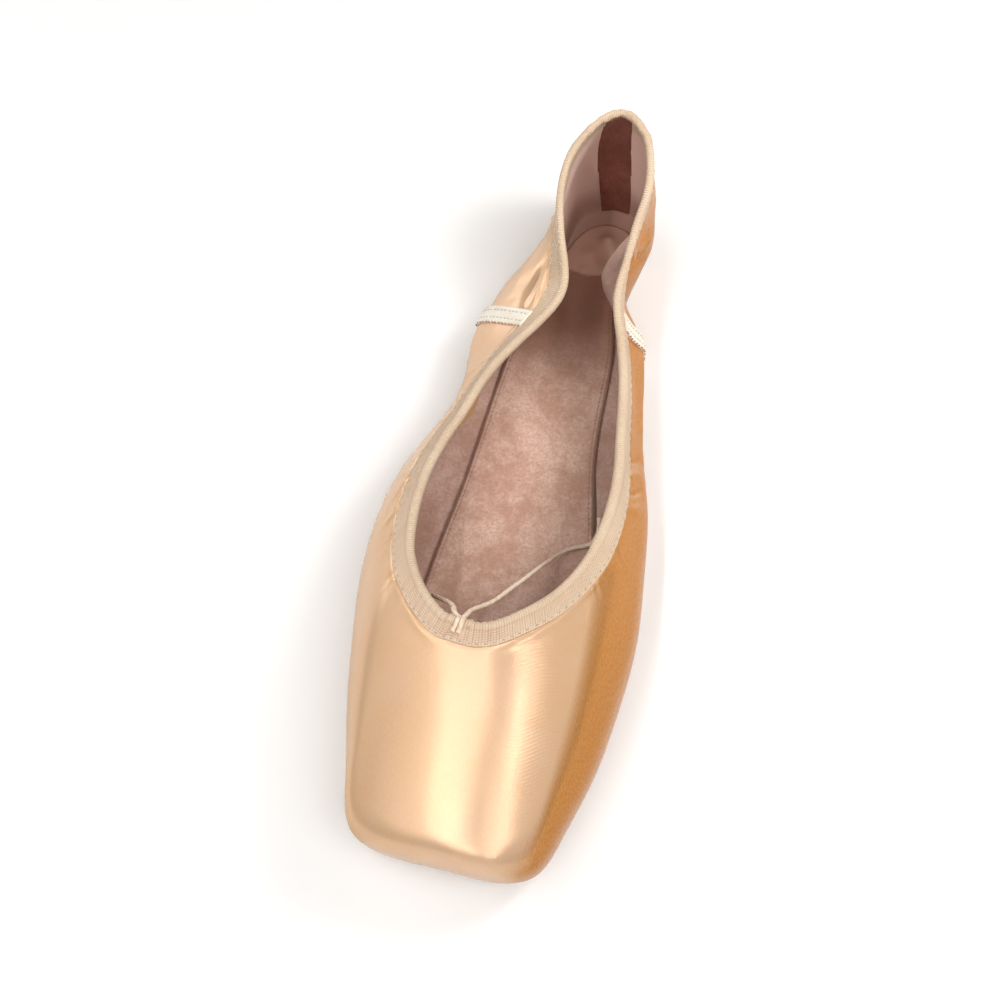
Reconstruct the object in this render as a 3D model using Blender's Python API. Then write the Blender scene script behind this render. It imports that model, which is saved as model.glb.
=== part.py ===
"""A satin pointe shoe, standing empty on its sole.

The toe points along -Y and the heel along +Y, +X is the arch side, and Z = 0 is the floor.
Everything is in metres. The last is worked out with y from 0 at the toe platform to LENGTH at
the heel, and the finished pieces are shifted so that the origin is under their middle.
"""

import math

import bmesh
import bpy
import numpy as np
from mathutils import Matrix

MM = 0.001

# Main sizes of the last
LENGTH = 235 * MM
PLATFORM_WIDTH = 54 * MM
BALL_WIDTH = 86 * MM
HEEL_WIDTH = 44 * MM
PLATFORM_TOP = 31 * MM
THROAT_HEIGHT = 46 * MM
WAIST_HEIGHT = 39 * MM
HEEL_HEIGHT = 58 * MM
WIDEST_HEIGHT = 17 * MM
VAMP_LENGTH = 62.4 * MM
CROWN_RADIUS = 115 * MM

# Edges of the last, above and below its widest line
SHOULDER_REACH = 30 * MM
FEATHER_INSET = 8.5 * MM

# Walls, layers and the gap between pieces that touch. The wall thins between two shares of LENGTH.
BOX_WALL = 2.6 * MM
QUARTER_WALL = 1.6 * MM
WALL_THINS_OVER = (0.22, 0.48)
OUTSOLE_THICKNESS = 2.6 * MM
OUTSOLE_BEVEL = 0.6 * MM
INSOLE_THICKNESS = 2.0 * MM
INSOLE_BEVEL = 0.6 * MM
LASTING_MARGIN = 5.0 * MM
GAP = 0.3 * MM

# How the sole leaves the floor, and where, as shares of LENGTH
TOE_SPRING = 3.2 * MM
ARCH_LIFT = 2.6 * MM
HEEL_SPRING = 0.8 * MM
FLAT_UNDER_BALL = (0.16, 0.37)
FLAT_UNDER_HEEL = (0.80, 0.94)

# Trim. The seam tapes end at a share of the way round the feather edge.
BINDING_OUTSIDE = 5.7 * MM
BINDING_INSIDE = 4.0 * MM
BINDING_THICKNESS = 0.9 * MM
SEAM_TAPE_WIDTH = 6.5 * MM
SEAM_TAPE_THICKNESS = 0.8 * MM
SEAM_TAPE_UNDER_EDGE = 0.62
CORD_DIAMETER = 1.4 * MM

# How many facets go round the shoe, and up each part of its wall
COLUMNS = 84
WALL_ROWS = 8
EDGE_ROWS = 5
MARGIN_ROWS = 3

HALF_WIDTHS = {"platform": PLATFORM_WIDTH / 2, "ball": BALL_WIDTH / 2, "heel": HEEL_WIDTH / 2}
HEIGHTS = {
    "platform": PLATFORM_TOP,
    "throat": THROAT_HEIGHT,
    "waist": WAIST_HEIGHT,
    "heel": HEEL_HEIGHT,
}

# The widest line of the last, one row for each station from the toe to the heel. "along" is a
# share of LENGTH, "outer" (-X) and "inner" (+X) are shares of the half width that the row follows,
# "widest" of WIDEST_HEIGHT, "shoulder" of SHOULDER_REACH and both "feather"s of FEATHER_INSET.
# "square" is the power of the rounding above the line: 1 is straight, 2 an ellipse, 3 boxy.
# "flare" is how much of the wall's height it gains in a steep rise just under the collar.
LAST_COLUMNS = (
    "follows", "along", "outer", "inner", "widest", "shoulder",
    "feather_outer", "feather_inner", "square_outer", "square_inner",
    "flare_outer", "flare_inner",
)
LAST_SECTIONS = (
    ("platform", 0.000, 0.00, 0.00, 0.88, 0.28, 0.55, 0.55, 2.9, 2.9, 0.00, 0.00),
    ("platform", 0.001, 0.66, 0.58, 0.88, 0.29, 0.60, 0.60, 2.9, 2.9, 0.00, 0.00),
    ("platform", 0.020, 1.03, 0.97, 0.90, 0.36, 0.70, 0.70, 2.8, 2.8, 0.00, 0.00),
    ("platform", 0.072, 1.19, 1.16, 0.94, 0.54, 0.80, 0.80, 2.6, 2.6, 0.00, 0.00),
    ("ball", 0.145, 0.865, 0.84, 0.97, 0.80, 0.95, 0.95, 2.4, 2.4, 0.00, 0.00),
    ("ball", 0.234, 0.975, 0.91, 1.00, 1.00, 1.00, 1.00, 2.3, 2.3, 0.00, 0.00),
    ("ball", 0.323, 1.065, 0.935, 1.00, 1.06, 1.00, 1.00, 2.2, 2.2, 0.00, 0.05),
    ("ball", 0.408, 1.08, 0.89, 1.00, 1.06, 0.98, 0.95, 2.2, 2.0, 0.00, 0.15),
    ("ball", 0.485, 1.01, 0.83, 1.01, 1.00, 0.96, 0.88, 2.1, 1.7, 0.05, 0.30),
    ("ball", 0.553, 0.86, 0.73, 1.03, 1.00, 0.95, 0.80, 1.9, 1.5, 0.10, 0.40),
    ("ball", 0.625, 0.755, 0.64, 1.05, 1.00, 1.00, 0.80, 1.7, 1.4, 0.15, 0.45),
    ("ball", 0.702, 0.775, 0.56, 1.06, 1.00, 1.10, 0.80, 1.6, 1.35, 0.15, 0.45),
    ("ball", 0.757, 0.71, 0.45, 1.08, 1.00, 1.00, 0.50, 1.6, 1.35, 0.20, 0.40),
    ("heel", 0.810, 1.17, 0.52, 1.12, 1.00, 0.62, 0.05, 1.6, 1.4, 0.35, 0.40),
    ("heel", 0.860, 0.88, 0.57, 1.20, 1.00, 0.25, 0.05, 1.6, 1.5, 0.50, 0.40),
    ("heel", 0.905, 0.72, 0.71, 1.30, 1.00, 0.15, 0.15, 1.7, 1.7, 0.50, 0.30),
    ("heel", 0.945, 0.67, 0.75, 1.38, 1.00, 0.20, 0.20, 1.8, 1.8, 0.40, 0.20),
    ("heel", 0.977, 0.54, 0.59, 1.44, 1.00, 0.30, 0.30, 1.9, 1.9, 0.20, 0.10),
    ("heel", 0.994, 0.27, 0.32, 1.47, 1.00, 0.40, 0.40, 1.9, 1.9, 0.00, 0.00),
    ("heel", 1.000, -0.02, 0.02, 1.47, 1.00, 0.40, 0.40, 1.9, 1.9, 0.00, 0.00),
)

# The edge of the opening at the same stations. Both "along" columns are shares of the way from
# the throat, VAMP_LENGTH behind the toe, to the heel.
COLLAR_COLUMNS = ("follows", "along_outer", "outer", "along_inner", "inner")
COLLAR = (
    ("ball", 0.000, 0.06, 0.000, -0.06),
    ("ball", 0.002, 0.17, 0.006, 0.05),
    ("ball", 0.007, 0.27, 0.022, 0.16),
    ("ball", 0.029, 0.40, 0.051, 0.30),
    ("ball", 0.061, 0.52, 0.088, 0.43),
    ("ball", 0.111, 0.635, 0.139, 0.535),
    ("ball", 0.178, 0.70, 0.200, 0.605),
    ("ball", 0.259, 0.71, 0.276, 0.637),
    ("ball", 0.333, 0.66, 0.345, 0.62),
    ("ball", 0.402, 0.577, 0.408, 0.58),
    ("ball", 0.494, 0.46, 0.498, 0.52),
    ("ball", 0.591, 0.21, 0.592, 0.415),
    ("ball", 0.655, 0.09, 0.655, 0.34),
    ("heel", 0.720, 0.29, 0.720, 0.69),
    ("heel", 0.790, 0.45, 0.790, 0.74),
    ("heel", 0.850, 0.49, 0.852, 0.80),
    ("heel", 0.900, 0.41, 0.905, 0.74),
    ("heel", 0.940, 0.23, 0.945, 0.61),
    ("heel", 0.967, 0.05, 0.970, 0.42),
    ("heel", 0.982, -0.195, 0.982, 0.195),
)

# The outsole's edge at the same stations, "along" as a share of LENGTH.
SOLE_COLUMNS = ("follows", "along", "outer", "inner")
SOLE_EDGE = (
    ("ball", 0.1220, 0.00, 0.00),
    ("ball", 0.1222, 0.14, 0.13),
    ("ball", 0.1245, 0.28, 0.26),
    ("ball", 0.133, 0.41, 0.385),
    ("ball", 0.158, 0.52, 0.49),
    ("ball", 0.215, 0.635, 0.60),
    ("ball", 0.310, 0.755, 0.69),
    ("ball", 0.400, 0.775, 0.67),
    ("ball", 0.480, 0.70, 0.58),
    ("ball", 0.553, 0.585, 0.48),
    ("ball", 0.625, 0.505, 0.40),
    ("ball", 0.702, 0.475, 0.34),
    ("ball", 0.757, 0.46, 0.30),
    ("heel", 0.810, 0.85, 0.51),
    ("heel", 0.860, 0.76, 0.54),
    ("heel", 0.905, 0.68, 0.63),
    ("heel", 0.935, 0.56, 0.58),
    ("heel", 0.958, 0.40, 0.43),
    ("heel", 0.969, 0.20, 0.22),
    ("heel", 0.972, 0.00, 0.00),
)

# The insole's edge, in the same columns as the outsole's.
INSOLE_EDGE = (
    ("ball", 0.0400, 0.00, 0.00),
    ("ball", 0.0402, 0.13, 0.12),
    ("ball", 0.043, 0.26, 0.24),
    ("ball", 0.056, 0.41, 0.38),
    ("ball", 0.100, 0.53, 0.49),
    ("ball", 0.190, 0.62, 0.55),
    ("ball", 0.300, 0.68, 0.56),
    ("ball", 0.400, 0.665, 0.51),
    ("ball", 0.480, 0.61, 0.43),
    ("ball", 0.553, 0.575, 0.35),
    ("ball", 0.625, 0.555, 0.31),
    ("ball", 0.702, 0.535, 0.29),
    ("ball", 0.757, 0.50, 0.26),
    ("heel", 0.810, 0.83, 0.40),
    ("heel", 0.860, 0.70, 0.45),
    ("heel", 0.895, 0.60, 0.54),
    ("heel", 0.925, 0.48, 0.50),
    ("heel", 0.945, 0.33, 0.36),
    ("heel", 0.954, 0.16, 0.18),
    ("heel", 0.957, 0.00, 0.00),
)

# The height of the last's top along its length, as shares of the height that the row follows.
TOP_COLUMNS = ("follows", "along", "height")
TOP_LINE = (
    ("platform", 0.000, 1.00),
    ("platform", 0.050, 1.12),
    ("throat", 0.130, 0.86),
    ("throat", 0.255, 1.00),
    ("throat", 0.340, 0.995),
    ("throat", 0.430, 0.95),
    ("waist", 0.530, 1.05),
    ("waist", 0.640, 1.00),
    ("waist", 0.735, 1.04),
    ("heel", 0.820, 0.80),
    ("heel", 0.900, 0.92),
    ("heel", 0.970, 0.99),
    ("heel", 1.000, 1.00),
)

# Where the side seams stand at the widest line and at the collar, as stations round the shoe:
# 0 is the toe, 1 the heel and 2 the toe again
SEAM_OUTER = (0.675, 0.64)
SEAM_INNER = (1.325, 1.33)

# The drawstring's two ends, point by point from the slit in the binding, in millimetres in the
# last's own frame
ROUTE_OUTER = (
    (-8.9, 65.7, 43.7),
    (-10.4, 68.1, 41.4),
    (-12.5, 69.5, 39.5),
    (-15.4, 70.8, 36.5),
    (-18.2, 72.2, 33.2),
    (-20.8, 73.2, 29.8),
    (-23.6, 73.8, 25.6),
    (-26.0, 73.8, 20.8),
    (-27.8, 73.0, 15.8),
    (-28.2, 71.2, 11.4),
    (-27.2, 68.2, 8.5),
    (-25.4, 64.8, 7.9),
    (-23.2, 61.4, 7.8),
    (-20.8, 58.2, 7.8),
)
ROUTE_INNER = (
    (-6.1, 65.1, 43.8),
    (-5.3, 67.8, 41.4),
    (-4.2, 69.5, 39.5),
    (-1.7, 72.8, 35.5),
    (1.5, 79.2, 29.8),
    (4.7, 86.1, 23.8),
    (6.9, 91.5, 18.8),
    (8.9, 96.3, 13.8),
    (10.8, 100.0, 10.4),
    (13.2, 102.6, 8.9),
    (16.0, 104.0, 8.7),
    (18.6, 105.2, 8.7),
    (20.2, 107.6, 8.8),
    (20.6, 111.0, 9.0),
    (20.0, 114.4, 9.3),
)


def column(table, names, name):
    return [row[names.index(name)] for row in table]


def spline(knots, values, at, closed=False):
    """A smooth curve through values, read at the places in at. A closed one ends where it starts."""
    count = len(knots)
    step = np.diff(knots)[:, None]
    slope = np.diff(values, axis=0) / step
    system = np.zeros((count, count))
    wanted = np.zeros_like(values)
    for i in range(1, count - 1):
        system[i, i - 1] = step[i, 0]
        system[i, i] = 2 * (step[i - 1, 0] + step[i, 0])
        system[i, i + 1] = step[i - 1, 0]
        wanted[i] = 3 * (step[i] * slope[i - 1] + step[i - 1] * slope[i])
    if closed:
        system[0, 0] = 2 * (step[0, 0] + step[-1, 0])
        system[0, 1] = step[-1, 0]
        system[0, count - 2] = step[0, 0]
        wanted[0] = 3 * (step[0] * slope[-1] + step[-1] * slope[0])
        system[-1, -1] = 1
        system[-1, 0] = -1
    else:
        system[0, :2] = (2, 1)
        wanted[0] = 3 * slope[0]
        system[-1, -2:] = (1, 2)
        wanted[-1] = 3 * slope[-1]
    tangent = np.linalg.solve(system, wanted)
    i = np.clip(np.searchsorted(knots, at, side="right") - 1, 0, count - 2)
    h = step[i]
    u = (np.asarray(at)[:, None] - np.asarray(knots)[i][:, None]) / h
    return (
        values[i] * (1 + 2 * u) * (1 - u) ** 2
        + values[i + 1] * u * u * (3 - 2 * u)
        + h * tangent[i] * u * (1 - u) ** 2
        + h * tangent[i + 1] * u * u * (u - 1)
    )


def both_sides(outer, inner):
    """Values round the shoe: down the outer side from toe to heel, and back up the inner side."""
    return np.array(list(outer) + list(inner[-2::-1]))


def side_x(table, names):
    half = [HALF_WIDTHS[name] for name in column(table, names, "follows")]
    outer = [-h * share for h, share in zip(half, column(table, names, "outer"))]
    inner = [h * share for h, share in zip(half, column(table, names, "inner"))]
    return both_sides(outer, inner)


def last_values():
    """Every value that the tables give round the shoe, one row for each station."""
    along = [LENGTH * share for share in column(LAST_SECTIONS, LAST_COLUMNS, "along")]
    opening = LENGTH - VAMP_LENGTH
    collar_outer = [VAMP_LENGTH + opening * s for s in column(COLLAR, COLLAR_COLUMNS, "along_outer")]
    collar_inner = [VAMP_LENGTH + opening * s for s in column(COLLAR, COLLAR_COLUMNS, "along_inner")]
    sole_along = [LENGTH * share for share in column(SOLE_EDGE, SOLE_COLUMNS, "along")]
    insole_along = [LENGTH * share for share in column(INSOLE_EDGE, SOLE_COLUMNS, "along")]
    rounding = []
    for outer, inner, size in (
        ("widest", "widest", WIDEST_HEIGHT),
        ("shoulder", "shoulder", SHOULDER_REACH),
        ("feather_outer", "feather_inner", FEATHER_INSET),
        ("square_outer", "square_inner", 1),
        ("flare_outer", "flare_inner", 1),
    ):
        pair = [column(LAST_SECTIONS, LAST_COLUMNS, name) for name in (outer, inner)]
        rounding.append(size * both_sides(*pair))
    return np.column_stack(
        [
            side_x(LAST_SECTIONS, LAST_COLUMNS),
            both_sides(along, along),
            side_x(COLLAR, COLLAR_COLUMNS),
            both_sides(collar_outer, collar_inner),
            side_x(SOLE_EDGE, SOLE_COLUMNS),
            both_sides(sole_along, sole_along),
            side_x(INSOLE_EDGE, SOLE_COLUMNS),
            both_sides(insole_along, insole_along),
        ]
        + rounding
    )


def station_knots(values):
    """The stations' places on a scale from 0 at the toe to 1 at the heel and 2 at the toe again."""
    half = len(values) // 2
    steps = np.hypot(*np.diff(values[:, :2], axis=0).T)
    even = np.sqrt((steps[:half] + steps[half:][::-1]) / 2)
    side = np.concatenate([[0], np.cumsum(even)]) / even.sum()
    return np.concatenate([side, 2 - side[-2::-1]])


def last_at(stations):
    """The last's values at any stations from 0 to 2: a dictionary of arrays."""
    values = last_values()
    knots = station_knots(values)
    found = spline(knots, values, stations, closed=True)
    nudge = 1e-4
    ahead = spline(knots, values, np.mod(stations + nudge, 2), closed=True) - found
    return {
        "widest_line": found[:, 0:2],
        "widest_inward": turned(ahead[:, 0:2]),
        "collar": found[:, 2:4],
        "sole": found[:, 4:6],
        "sole_inward": turned(ahead[:, 4:6]),
        "insole": found[:, 6:8],
        "insole_inward": turned(ahead[:, 6:8]),
        "widest": found[:, 8],
        "shoulder": found[:, 9],
        "feather": found[:, 10],
        "square": found[:, 11],
        "flare": found[:, 12],
    }


def turned(steps):
    """Unit vectors in plan, square to steps round the shoe and pointing into it."""
    steps = steps / np.linalg.norm(steps, axis=1, keepdims=True)
    return np.column_stack([steps[:, 1], -steps[:, 0]])


def top_height(x, y):
    """The last's top as a field over the plan: its top line, crowned from side to side."""
    share = column(TOP_LINE, TOP_COLUMNS, "height")
    size = [HEIGHTS[name] for name in column(TOP_LINE, TOP_COLUMNS, "follows")]
    knots = np.array([LENGTH * along for along in column(TOP_LINE, TOP_COLUMNS, "along")])
    heights = np.array([[h * s] for h, s in zip(size, share)])
    line = spline(knots, heights, np.clip(y.ravel(), 0, LENGTH))[:, 0].reshape(y.shape)
    return line - x * x / (2 * CROWN_RADIUS)


def floor_lift(y):
    """How far the sole's underside stands off the floor."""
    ball_front, ball_back = (LENGTH * share for share in FLAT_UNDER_BALL)
    heel_front, heel_back = (LENGTH * share for share in FLAT_UNDER_HEEL)
    toe = np.clip(1 - y / ball_front, 0, 1) ** 2
    arch = np.sin(math.pi * np.clip((y - ball_back) / (heel_front - ball_back), 0, 1)) ** 2
    heel = np.clip((y - heel_back) / (LENGTH - heel_back), 0, 1) ** 2
    return TOE_SPRING * toe + ARCH_LIFT * arch + HEEL_SPRING * heel


def underside(y):
    """The height of the upper's turned-in margin, from below."""
    return floor_lift(y) + OUTSOLE_THICKNESS + GAP


def roundness(share, square):
    """A superellipse's rise: from 0 at share 0, straight up, to a level 1 at share 1."""
    return (1 - (1 - np.clip(share, 0, 1)) ** square) ** (1 / square)


def wall_points(last, shares):
    """Points on the outer wall between the widest line (share 0) and the collar (share 1)."""
    start = last["widest_line"][None]
    reach = last["collar"][None] - start
    plan = start + reach * shares[..., None]
    distance = np.linalg.norm(plan - start, axis=2)
    whole = np.linalg.norm(reach, axis=2)
    square = last["square"][None]
    rise = roundness(distance / last["shoulder"], square)
    rise /= roundness(whole / last["shoulder"], square)
    rise += last["flare"] * ((distance / whole) ** 3 - rise)
    top = top_height(plan[..., 0], plan[..., 1])
    height = last["widest"] + (top - last["widest"]) * rise
    return np.dstack([plan, height])


def collar_shares(last, distances):
    """The shares of the wall's reach that lie at each distance from the collar, along the wall."""
    count = len(last["widest"])
    fine = 1 - np.cos(np.linspace(0, math.pi / 2, 80))
    samples = wall_points(last, np.repeat(fine[:, None], count, axis=1))
    pieces = np.linalg.norm(np.diff(samples, axis=0), axis=2)
    from_collar = np.vstack([np.cumsum(pieces[::-1], axis=0)[::-1], np.zeros((1, count))])
    return np.array(
        [[np.interp(-far, -from_collar[:, j], fine) for j in range(count)] for far in distances]
    )


def wall_rows(last, from_collar):
    """Rows up the outer wall, the last ones at each distance from the collar along the wall."""
    shares = collar_shares(last, from_collar)
    steps = np.linspace(0, math.pi / 2, WALL_ROWS + 1)[:-1]
    lower = shares[0] * (1 - np.cos(steps))[:, None]
    return wall_points(last, np.vstack([lower, shares]))


def surface_normals(rows):
    """Normals of a grid of points that is closed round the shoe, pointing out of it."""
    across = np.roll(rows, -1, 1) - np.roll(rows, 1, 1)
    up = np.gradient(rows, axis=0)
    normal = np.cross(up, across)
    return normal / np.linalg.norm(normal, axis=2, keepdims=True)


def wall_thickness(rows):
    """The box is thick under the toes, and thins towards the throat and the quarters."""
    y = rows[..., 1]
    front, end = (LENGTH * share for share in WALL_THINS_OVER)
    back = np.clip((y - front) / (end - front), 0, 1)
    back = back * back * (3 - 2 * back)
    to_collar = np.linalg.norm(rows - rows[-1:], axis=2)
    box = np.clip((to_collar - BINDING_OUTSIDE) / (2 * BINDING_OUTSIDE), 0, 1)
    return QUARTER_WALL + (BOX_WALL - QUARTER_WALL) * box * (1 - back)


def edge_points(last, start_inset, end_inset, bottom, angle):
    """Points round the feather edge: angle 0 is the widest line, a right angle the underside."""
    inset = end_inset - (end_inset - start_inset) * np.cos(angle) ** 0.9
    plan = last["widest_line"] + last["widest_inward"] * inset[:, None]
    floor = underside(plan[:, 1]) + bottom
    height = last["widest"] - (last["widest"] - floor) * np.sin(angle) ** 0.8
    return np.column_stack([plan, height])


def lower_edge(last, start_inset, end_inset, bottom):
    """Rows round the feather edge, from just under the widest line to the flat underside."""
    angles = np.linspace(0, math.pi / 2, EDGE_ROWS + 1)[1:]
    return [edge_points(last, start_inset, end_inset, bottom, angle) for angle in angles]


def margin_edge(last):
    """The edge of the opening underneath, in plan: inside the outsole's edge."""
    return last["sole"] + last["sole_inward"] * LASTING_MARGIN


def margin_rows(start, last, bottom):
    """Rows of the turned-in margin, from the feather edge to the opening underneath."""
    edge = margin_edge(last)
    rows = []
    for share in np.linspace(0, 1, MARGIN_ROWS + 1)[1:]:
        plan = start[:, :2] + (edge - start[:, :2]) * share
        rows.append(np.column_stack([plan, underside(plan[:, 1]) + bottom]))
    return rows


def stations_round():
    return np.linspace(0, 2, COLUMNS, endpoint=False)


def upper_skins(last):
    """The outer and inner skins of the upper, as rows from the opening underneath to the collar."""
    binding = (BINDING_OUTSIDE, BINDING_OUTSIDE / 2, 0)
    wall = wall_rows(last, binding)
    thickness = wall_thickness(wall)
    inside = wall - surface_normals(wall) * thickness[..., None]
    feather = last["feather"]
    outer_edge = lower_edge(last, np.zeros_like(feather), feather, 0)
    inner_edge = lower_edge(last, thickness[0], feather + thickness[0] / 2, QUARTER_WALL)
    outline = last["widest_line"] + last["widest_inward"] * thickness[:1].T
    inside[0] = np.column_stack([outline, last["widest"]])
    outer = margin_rows(outer_edge[-1], last, 0)[::-1] + outer_edge[::-1] + list(wall)
    inner = margin_rows(inner_edge[-1], last, QUARTER_WALL)[::-1] + inner_edge[::-1] + list(inside)
    return np.array(outer), np.array(inner)


def mesh_object(name, points, faces, material):
    mesh = bpy.data.meshes.new(name)
    mesh.from_pydata([tuple(point) for point in points], [], faces)
    built = bmesh.new()
    built.from_mesh(mesh)
    bmesh.ops.recalc_face_normals(built, faces=built.faces)
    built.to_mesh(mesh)
    built.free()
    mesh.shade_smooth()
    mesh.set_sharp_from_angle(angle=math.radians(50))
    mesh.materials.append(material)
    made = bpy.data.objects.new(name, mesh)
    bpy.context.scene.collection.objects.link(made)
    return made


def ring_object(name, rows, material):
    """A solid from rows of points that are closed round the shoe, and closed from last row to first."""
    height, width = rows.shape[:2]
    faces = []
    for i in range(height):
        for j in range(width):
            above = (i + 1) % height * width
            beside = (j + 1) % width
            faces.append((i * width + j, i * width + beside, above + beside, above + j))
    return mesh_object(name, rows.reshape(-1, 3), faces, material)


def strip_object(name, rows, material):
    """A solid from closed rings of points, one after another, with its two ends filled."""
    count, ring = rows.shape[:2]
    faces = [tuple(range(ring)), tuple((count - 1) * ring + j for j in range(ring))[::-1]]
    for i in range(count - 1):
        for j in range(ring):
            beside = (j + 1) % ring
            faces.append(
                (i * ring + j, i * ring + beside, (i + 1) * ring + beside, (i + 1) * ring + j)
            )
    return mesh_object(name, rows.reshape(-1, 3), faces, material)


def make_upper(last, material):
    outer, inner = upper_skins(last)
    return ring_object("upper", np.concatenate([outer, inner[::-1]]), material)


def sole_solid(name, outline, direction, bottom, top, bevel, material):
    """A flat piece in plan, whose under and upper sides follow two heights along the shoe."""
    half = len(outline) // 2
    rings = []
    for i in range(1, half):
        left, right = outline[i], outline[-i]
        left_in = left + direction[i] * bevel
        right_in = right + direction[-i] * bevel
        rings.append(
            [
                (*left_in, bottom(left_in[1])),
                (*left, bottom(left[1]) + bevel),
                (*left, top(left[1])),
                (*right, top(right[1])),
                (*right, bottom(right[1]) + bevel),
                (*right_in, bottom(right_in[1])),
            ]
        )
    return strip_object(name, np.array(rings), material)


def make_outsole(last, material):
    return sole_solid(
        "outsole",
        last["sole"],
        last["sole_inward"],
        floor_lift,
        lambda y: floor_lift(y) + OUTSOLE_THICKNESS,
        OUTSOLE_BEVEL,
        material,
    )


def insole_bottom(y):
    return underside(y) + QUARTER_WALL + GAP


def make_insole(last, material):
    return sole_solid(
        "insole",
        last["insole"],
        last["insole_inward"],
        insole_bottom,
        lambda y: insole_bottom(y) + INSOLE_THICKNESS,
        INSOLE_BEVEL,
        material,
    )


def leg_point(rows, share):
    """A value between the collar (share 0) and the binding's outer edge (share 1), of three rows."""
    if share < 0.5:
        return rows[2] + (rows[1] - rows[2]) * share * 2
    return rows[1] + (rows[0] - rows[1]) * (share * 2 - 1)


def make_binding(last, material):
    """The tape folded over the collar: a leg outside, a round top and a leg inside."""
    outer, inner = upper_skins(last)
    normal = surface_normals(outer)[-3:]
    leg, inner_leg = outer[-3:], inner[-3:]
    along = np.roll(outer[-1], -1, 0) - np.roll(outer[-1], 1, 0)
    beyond = np.cross(along, normal[2])
    beyond *= np.sign((beyond * (outer[-1] - outer[-2])).sum(axis=1, keepdims=True))
    beyond /= np.linalg.norm(beyond, axis=1, keepdims=True)
    middle = (outer[-1] + inner[-1]) / 2 + beyond * GAP
    half = np.linalg.norm(outer[-1] - inner[-1], axis=1, keepdims=True) / 2
    near = 1.5 * GAP
    far = near + BINDING_THICKNESS
    skin = [leg[0] + normal[0] * far, leg[1] + normal[1] * far, leg[2] + normal[2] * far]
    for angle in (math.radians(45), math.radians(90), math.radians(135)):
        radius = half + far
        skin.append(
            middle + normal[2] * radius * math.cos(angle) + beyond * radius * math.sin(angle)
        )
    share = BINDING_INSIDE / BINDING_OUTSIDE
    shares = (0, 0.5 if share > 0.5 else share / 2, share)
    inside = [leg_point(inner_leg, place) for place in shares]
    facing = [leg_point(normal, place) for place in shares]
    skin += [point - out * far for point, out in zip(inside, facing)]
    lining = [point - out * near for point, out in zip(inside[:0:-1], facing[:0:-1])]
    lining += [
        inner_leg[2] - normal[2] * near + beyond * GAP,
        leg[2] + normal[2] * near + beyond * GAP,
        leg[1] + normal[1] * near,
        leg[0] + normal[0] * near,
    ]
    return ring_object("binding", np.array(skin + lining), material)


def skin(last, level):
    """Points on the outer skin: level 1 is the collar, 0 the widest line and -1 the feather edge."""
    level = np.broadcast_to(level, last["widest"].shape)
    wall = wall_points(last, np.clip(level, 0, 1)[None])[0]
    angle = np.clip(-level, 0, 1) * math.pi / 2
    edge = edge_points(last, np.zeros_like(level), last["feather"], 0, angle)
    return np.where(level[:, None] < 0, edge, wall)


def skin_normals(stations, level):
    nudge = 1e-4
    across = skin(last_at(stations + nudge), level) - skin(last_at(stations - nudge), level)
    last = last_at(stations)
    normal = np.cross(skin(last, level + nudge) - skin(last, level - nudge), across)
    return normal / np.linalg.norm(normal, axis=1, keepdims=True)


def make_seam_tape(name, ends, material):
    """A tape over a side seam, from just under the binding to the feather edge."""
    low, high = ends
    top = collar_shares(last_at(np.array([high])), (BINDING_OUTSIDE + 2 * GAP,))[0, 0]
    levels = list(np.linspace(-SEAM_TAPE_UNDER_EDGE, 0, 4)[:-1])
    levels += [top * (1 - math.cos(angle)) for angle in np.linspace(0, math.pi / 2, WALL_ROWS)]
    nudge = 1e-3
    rings = []
    for level in levels:
        centre = low + (high - low) * max(level, 0)
        pair = skin(last_at(np.array([centre - nudge, centre + nudge])), level)
        half = SEAM_TAPE_WIDTH / 2 * (2 * nudge) / np.linalg.norm(pair[1] - pair[0])
        stations = centre + np.linspace(-half, half, 5)
        points = skin(last_at(stations), level)
        normal = skin_normals(stations, level)
        under = points + normal * GAP
        over = points + normal * (GAP + SEAM_TAPE_THICKNESS)
        rings.append(np.vstack([under, over[::-1]]))
    return strip_object(name, np.array(rings), material)


def cord_object(name, route, diameter, shift, material):
    """A cord as a tube along a smooth curve through its route's points."""
    points = np.array(route) * MM
    steps = np.linalg.norm(np.diff(points, axis=0), axis=1)
    knots = np.concatenate([[0], np.cumsum(steps)])
    count = max(12, int(knots[-1] / (2.5 * diameter)))
    smooth = spline(knots, points, np.linspace(0, knots[-1], count)) + np.array(shift)
    curve = bpy.data.curves.new(name, "CURVE")
    curve.dimensions = "3D"
    curve.bevel_depth = diameter / 2
    curve.bevel_resolution = 2
    curve.use_fill_caps = True
    line = curve.splines.new("POLY")
    line.points.add(count - 1)
    for point, place in zip(line.points, smooth):
        point.co = (*place, 1)
    curve.materials.append(material)
    made = bpy.data.objects.new(name, curve)
    bpy.context.scene.collection.objects.link(made)
    return made


def make_material(name, colour, roughness):
    material = bpy.data.materials.new(name)
    material.use_nodes = True
    shader = material.node_tree.nodes["Principled BSDF"]
    shader.inputs["Base Color"].default_value = (*colour, 1)
    shader.inputs["Roughness"].default_value = roughness
    shader.inputs["Metallic"].default_value = 0
    return material


def clear_scene():
    for thing in list(bpy.data.objects):
        bpy.data.objects.remove(thing, do_unlink=True)


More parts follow.
